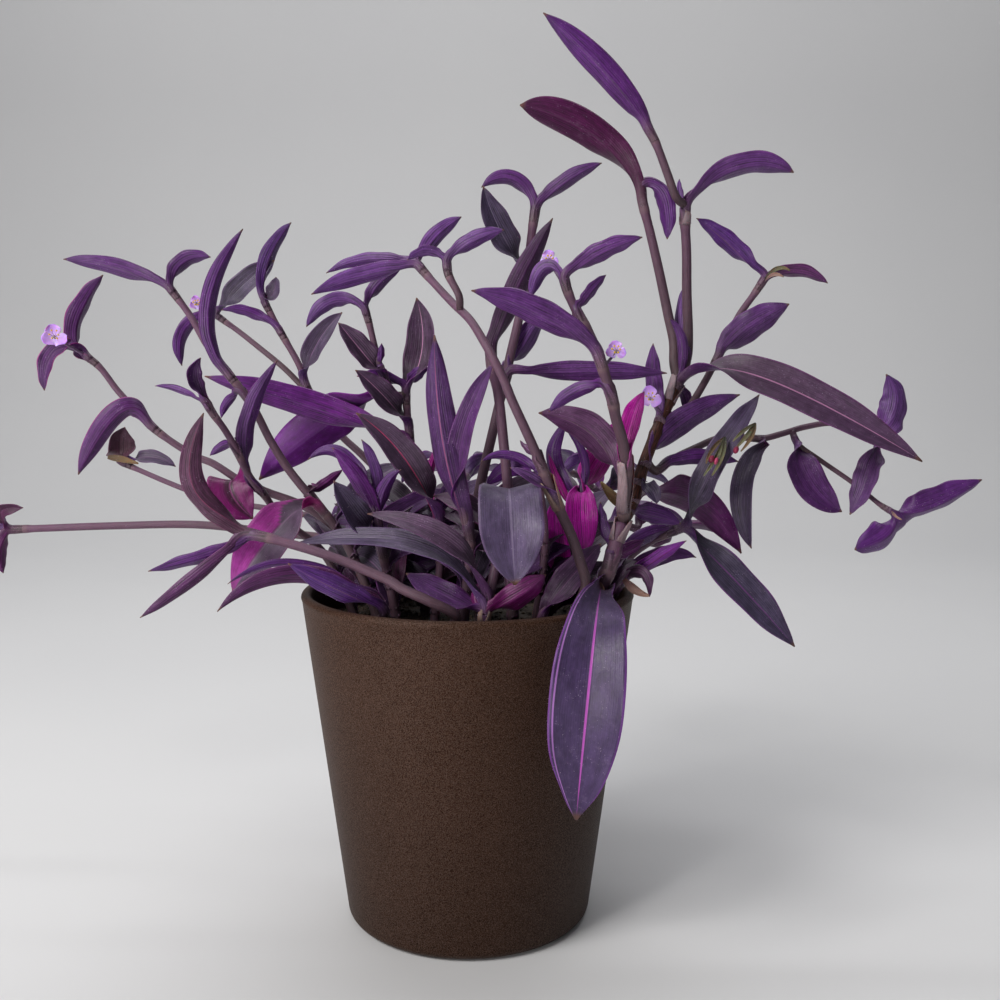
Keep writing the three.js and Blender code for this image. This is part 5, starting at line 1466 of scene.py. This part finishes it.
def scatter(name, source, bit, inputs, material):
    """Copies of a small mesh, scattered over a source mesh by Geometry Nodes, as a plain mesh."""
    tree = bpy.data.node_groups.new(name, "GeometryNodeTree")
    tree.interface.new_socket("Geometry", in_out="INPUT", socket_type="NodeSocketGeometry")
    for key in ("Density", "Smallest", "Largest", "Lean", "Seed"):
        kind = "NodeSocketInt" if key == "Seed" else "NodeSocketFloat"
        tree.interface.new_socket(key, in_out="INPUT", socket_type=kind)
    tree.interface.new_socket("Geometry", in_out="OUTPUT", socket_type="NodeSocketGeometry")
    entry = node(tree, "NodeGroupInput")
    field = node(tree, "GeometryNodeInputNamedAttribute", {"Name": "downy"}, data_type="FLOAT")
    density = times(tree, field.outputs[0], entry.outputs["Density"])
    points = node(tree, "GeometryNodeDistributePointsOnFaces",
                  {"Mesh": entry.outputs["Geometry"], "Density": density,
                   "Seed": entry.outputs["Seed"]})
    stray = node(tree, "FunctionNodeRandomValue",
                 {"Min": (-1, -1, -1), "Max": (1, 1, 1), "Seed": entry.outputs["Seed"]},
                 data_type="FLOAT_VECTOR")
    away = scale_by(tree, stray.outputs[0], entry.outputs["Lean"])
    axis = node(tree, "ShaderNodeVectorMath", {0: points.outputs["Normal"], 1: away},
                operation="ADD")
    turn = node(tree, "FunctionNodeAlignRotationToVector", {"Vector": axis.outputs[0]}, axis="Z")
    size = node(tree, "FunctionNodeRandomValue", data_type="FLOAT")
    tree.links.new(entry.outputs["Smallest"], size.inputs[2])
    tree.links.new(entry.outputs["Largest"], size.inputs[3])
    shape = node(tree, "GeometryNodeObjectInfo", {"Object": bit})
    copies = node(tree, "GeometryNodeInstanceOnPoints",
                  {"Points": points.outputs["Points"], "Instance": shape.outputs["Geometry"],
                   "Rotation": turn.outputs[0], "Scale": size.outputs[1]})
    real = node(tree, "GeometryNodeRealizeInstances", {"Geometry": copies.outputs[0]})
    dressed = node(tree, "GeometryNodeSetMaterial",
                   {"Geometry": real.outputs[0], "Material": material})
    leave = node(tree, "NodeGroupOutput")
    tree.links.new(dressed.outputs[0], leave.inputs[0])

    modifier = source.modifiers.new(name, "NODES")
    modifier.node_group = tree
    for item in tree.interface.items_tree:
        if item.in_out == "INPUT" and item.name in inputs:
            modifier[item.identifier] = inputs[item.name]
    bpy.context.view_layer.update()
    evaluated = source.evaluated_get(bpy.context.evaluated_depsgraph_get())
    mesh = bpy.data.meshes.new_from_object(evaluated)
    source.modifiers.remove(modifier)
    bpy.data.node_groups.remove(tree)
    mesh.name = name
    return mesh


def small_mesh(name, points, faces):
    return add_object(name, new_mesh(name, points, faces, smooth=False))


def hair_bit():
    """A thin upright spike, one millimetre long."""
    turn = [2 * math.pi * k / 3 for k in range(3)]
    points = [(0.05 * math.cos(a), 0.05 * math.sin(a), -0.1) for a in turn] + [(0.06, 0, 1)]
    return small_mesh("hair_bit", points, [(2, 1, 0), (0, 1, 3), (1, 2, 3), (2, 0, 3)])


def crumb_bit():
    """A rough clod, about one millimetre across."""
    g = (1 + math.sqrt(5)) / 2
    points = [(-1, g, 0), (1, g, 0), (-1, -g, 0), (1, -g, 0), (0, -1, g), (0, 1, g),
              (0, -1, -g), (0, 1, -g), (g, 0, -1), (g, 0, 1), (-g, 0, -1), (-g, 0, 1)]
    draw = Draws(3)
    points = [[c * 0.28 * (0.75 + 0.5 * draw()) for c in p] for p in points]
    faces = [(0, 11, 5), (0, 5, 1), (0, 1, 7), (0, 7, 10), (0, 10, 11), (1, 5, 9), (5, 11, 4),
             (11, 10, 2), (10, 7, 6), (7, 1, 8), (3, 9, 4), (3, 4, 2), (3, 2, 6), (3, 6, 8),
             (3, 8, 9), (4, 9, 5), (2, 4, 11), (6, 2, 10), (8, 6, 7), (9, 8, 1)]
    return small_mesh("crumb_bit", points, faces)


# ------------------------------------------------------------------ the pieces

MATERIALS = [flesh_material(), bark_material(), paper_material(), petal_material(),
             calyx_material(), anther_material()]
ROUND_SIDES = 160


def place_piece(name, mesh, slot, *nodes):
    piece = add_object(name, mesh)
    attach(piece, "root")
    if nodes:
        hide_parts(*nodes)
    return piece


def dress(name, skin, slot):
    """The finished look of a node, in its place."""
    look = name + "_look"
    return place_piece(look, skin.mesh(look, MATERIALS), slot, name)


plant = whole_plant()
lines = {name: shoot_lines(shoots) for name, shoots in plant.items()}
leafy = []
for name, shoots in plant.items():
    skin = leafy_stem(name, shoots, lines[name])
    draw = Draws(len(name) + 7)
    for shoot, *row in SHEATHS.get(name, []):
        add_sheath(skin, lines[name][shoot], *row, draw)
    for row in BRACTS.get(name, []):
        add_bract(skin, *row, draw)
    for base, tip, radius, colour in BUDS.get(name, []):
        foot, end = seen(*base), seen(*tip)
        add_bead(skin, foot, end - foot, np.linalg.norm(end - foot), radius, CALYX, colour)
    leafy.append(dress(name, skin, "leafy_stem"))

for name, (host, shoot, *row) in BLOOMS.items():
    dress(name, bloom(name, lines[host][shoot], *row), "bloom")

pot_mesh = grid_mesh("pot_look", lathe(pot_profile(), ROUND_SIDES), pot_material())
place_piece("pot_look", pot_mesh, "pot", "pot")

soil_mesh = grid_mesh("soil_look", soil_rings(ROUND_SIDES), soil_material("soil", SOIL_TONES))
on_top = np.array([v.co.z for v in soil_mesh.vertices]) > (SOIL["top"] - 0.5) * MM
ground = soil_mesh.attributes.new("downy", "FLOAT", "POINT")
ground.data.foreach_set("value", on_top.astype(np.float32))
soil = place_piece("soil_look", soil_mesh, "soil", "soil")
crumb = crumb_bit()
crumbs = scatter("soil_crumbs", soil, crumb, CRUMBS, soil_material("soil crumb", CRUMB_TONES))
place_piece("soil_crumbs", crumbs, "soil")

# The hairs grow on a copy of all the leafy stems in one mesh, which is then thrown away.
whole = bpy.data.meshes.new("whole_plant")
bm = bmesh.new()
for piece in leafy:
    bm.from_mesh(piece.data)
bm.to_mesh(whole)
bm.free()
host = add_object("whole_plant", whole)
spike = hair_bit()
hairs = scatter("leaf_hairs", host, spike, HAIRS,
                plain_material("fine hair", 500, 2, HAIR_TONES, (0.4, 0.6)))
place_piece("leaf_hairs", hairs, "leafy_stem")
for spare in (crumb, spike, host):
    bpy.data.objects.remove(spare)


# ------------------------------------------------------------------ floor, lights and camera

def backdrop():
    """A floor that curves up into a wall behind the object, in metres."""
    floor_steps, steps, bend_steps = 20, 40, 14
    rings = []
    for k in range(steps + 1):
        y, z = -3.0 + 4.2 * min(k, floor_steps) / floor_steps, 0.0
        if k > floor_steps:
            turn = math.pi / 2 * min(1, (k - floor_steps) / bend_steps)
            y, z = 1.2 + 0.9 * math.sin(turn), 0.9 * (1 - math.cos(turn))
            z += max(0, k - floor_steps - bend_steps) * 0.5
        rings.append([(x, y, z - 0.0005) for x in (-5.0, 5.0)])
    points = np.array(rings).reshape(-1, 3) / MM
    faces = [(2 * k, 2 * k + 1, 2 * k + 3, 2 * k + 2) for k in range(steps)]
    floor = plain_material("pale floor", 3, 3, FLOOR_TONES, (0.75, 0.85))
    return add_object("backdrop", new_mesh("backdrop", points, faces, [floor]))


def soft_light(name, place, target, size, power, colour):
    light = bpy.data.lights.new(name, "AREA")
    light.shape = "RECTANGLE"
    light.size, light.size_y = size
    light.energy = power
    light.color = colour
    made = add_object(name, light)
    made.location = place
    made.rotation_euler = (Vector(target) - Vector(place)).to_track_quat("-Z", "Y").to_euler()


backdrop()
for name, row in LIGHTS.items():
    soft_light(name, *row)

world = bpy.data.worlds.new("room light")
world.use_nodes = True
sky = world.node_tree.nodes["Background"]
sky.inputs["Color"].default_value = ROOM_LIGHT["colour"]
sky.inputs["Strength"].default_value = ROOM_LIGHT["strength"]
bpy.context.scene.world = world
bpy.context.scene.view_settings.view_transform = "Standard"

camera_data = bpy.data.cameras.new("camera")
camera_data.lens = CAMERA["lens"]
camera_data.sensor_width = CAMERA["sensor"]
camera = add_object("camera", camera_data)
camera.location = (EYE["x"] * MM, -EYE["distance"] * MM, EYE["z"] * MM)
camera.rotation_euler = (math.radians(90 - CAMERA["tilt"]), 0, 0)
bpy.context.scene.camera = camera
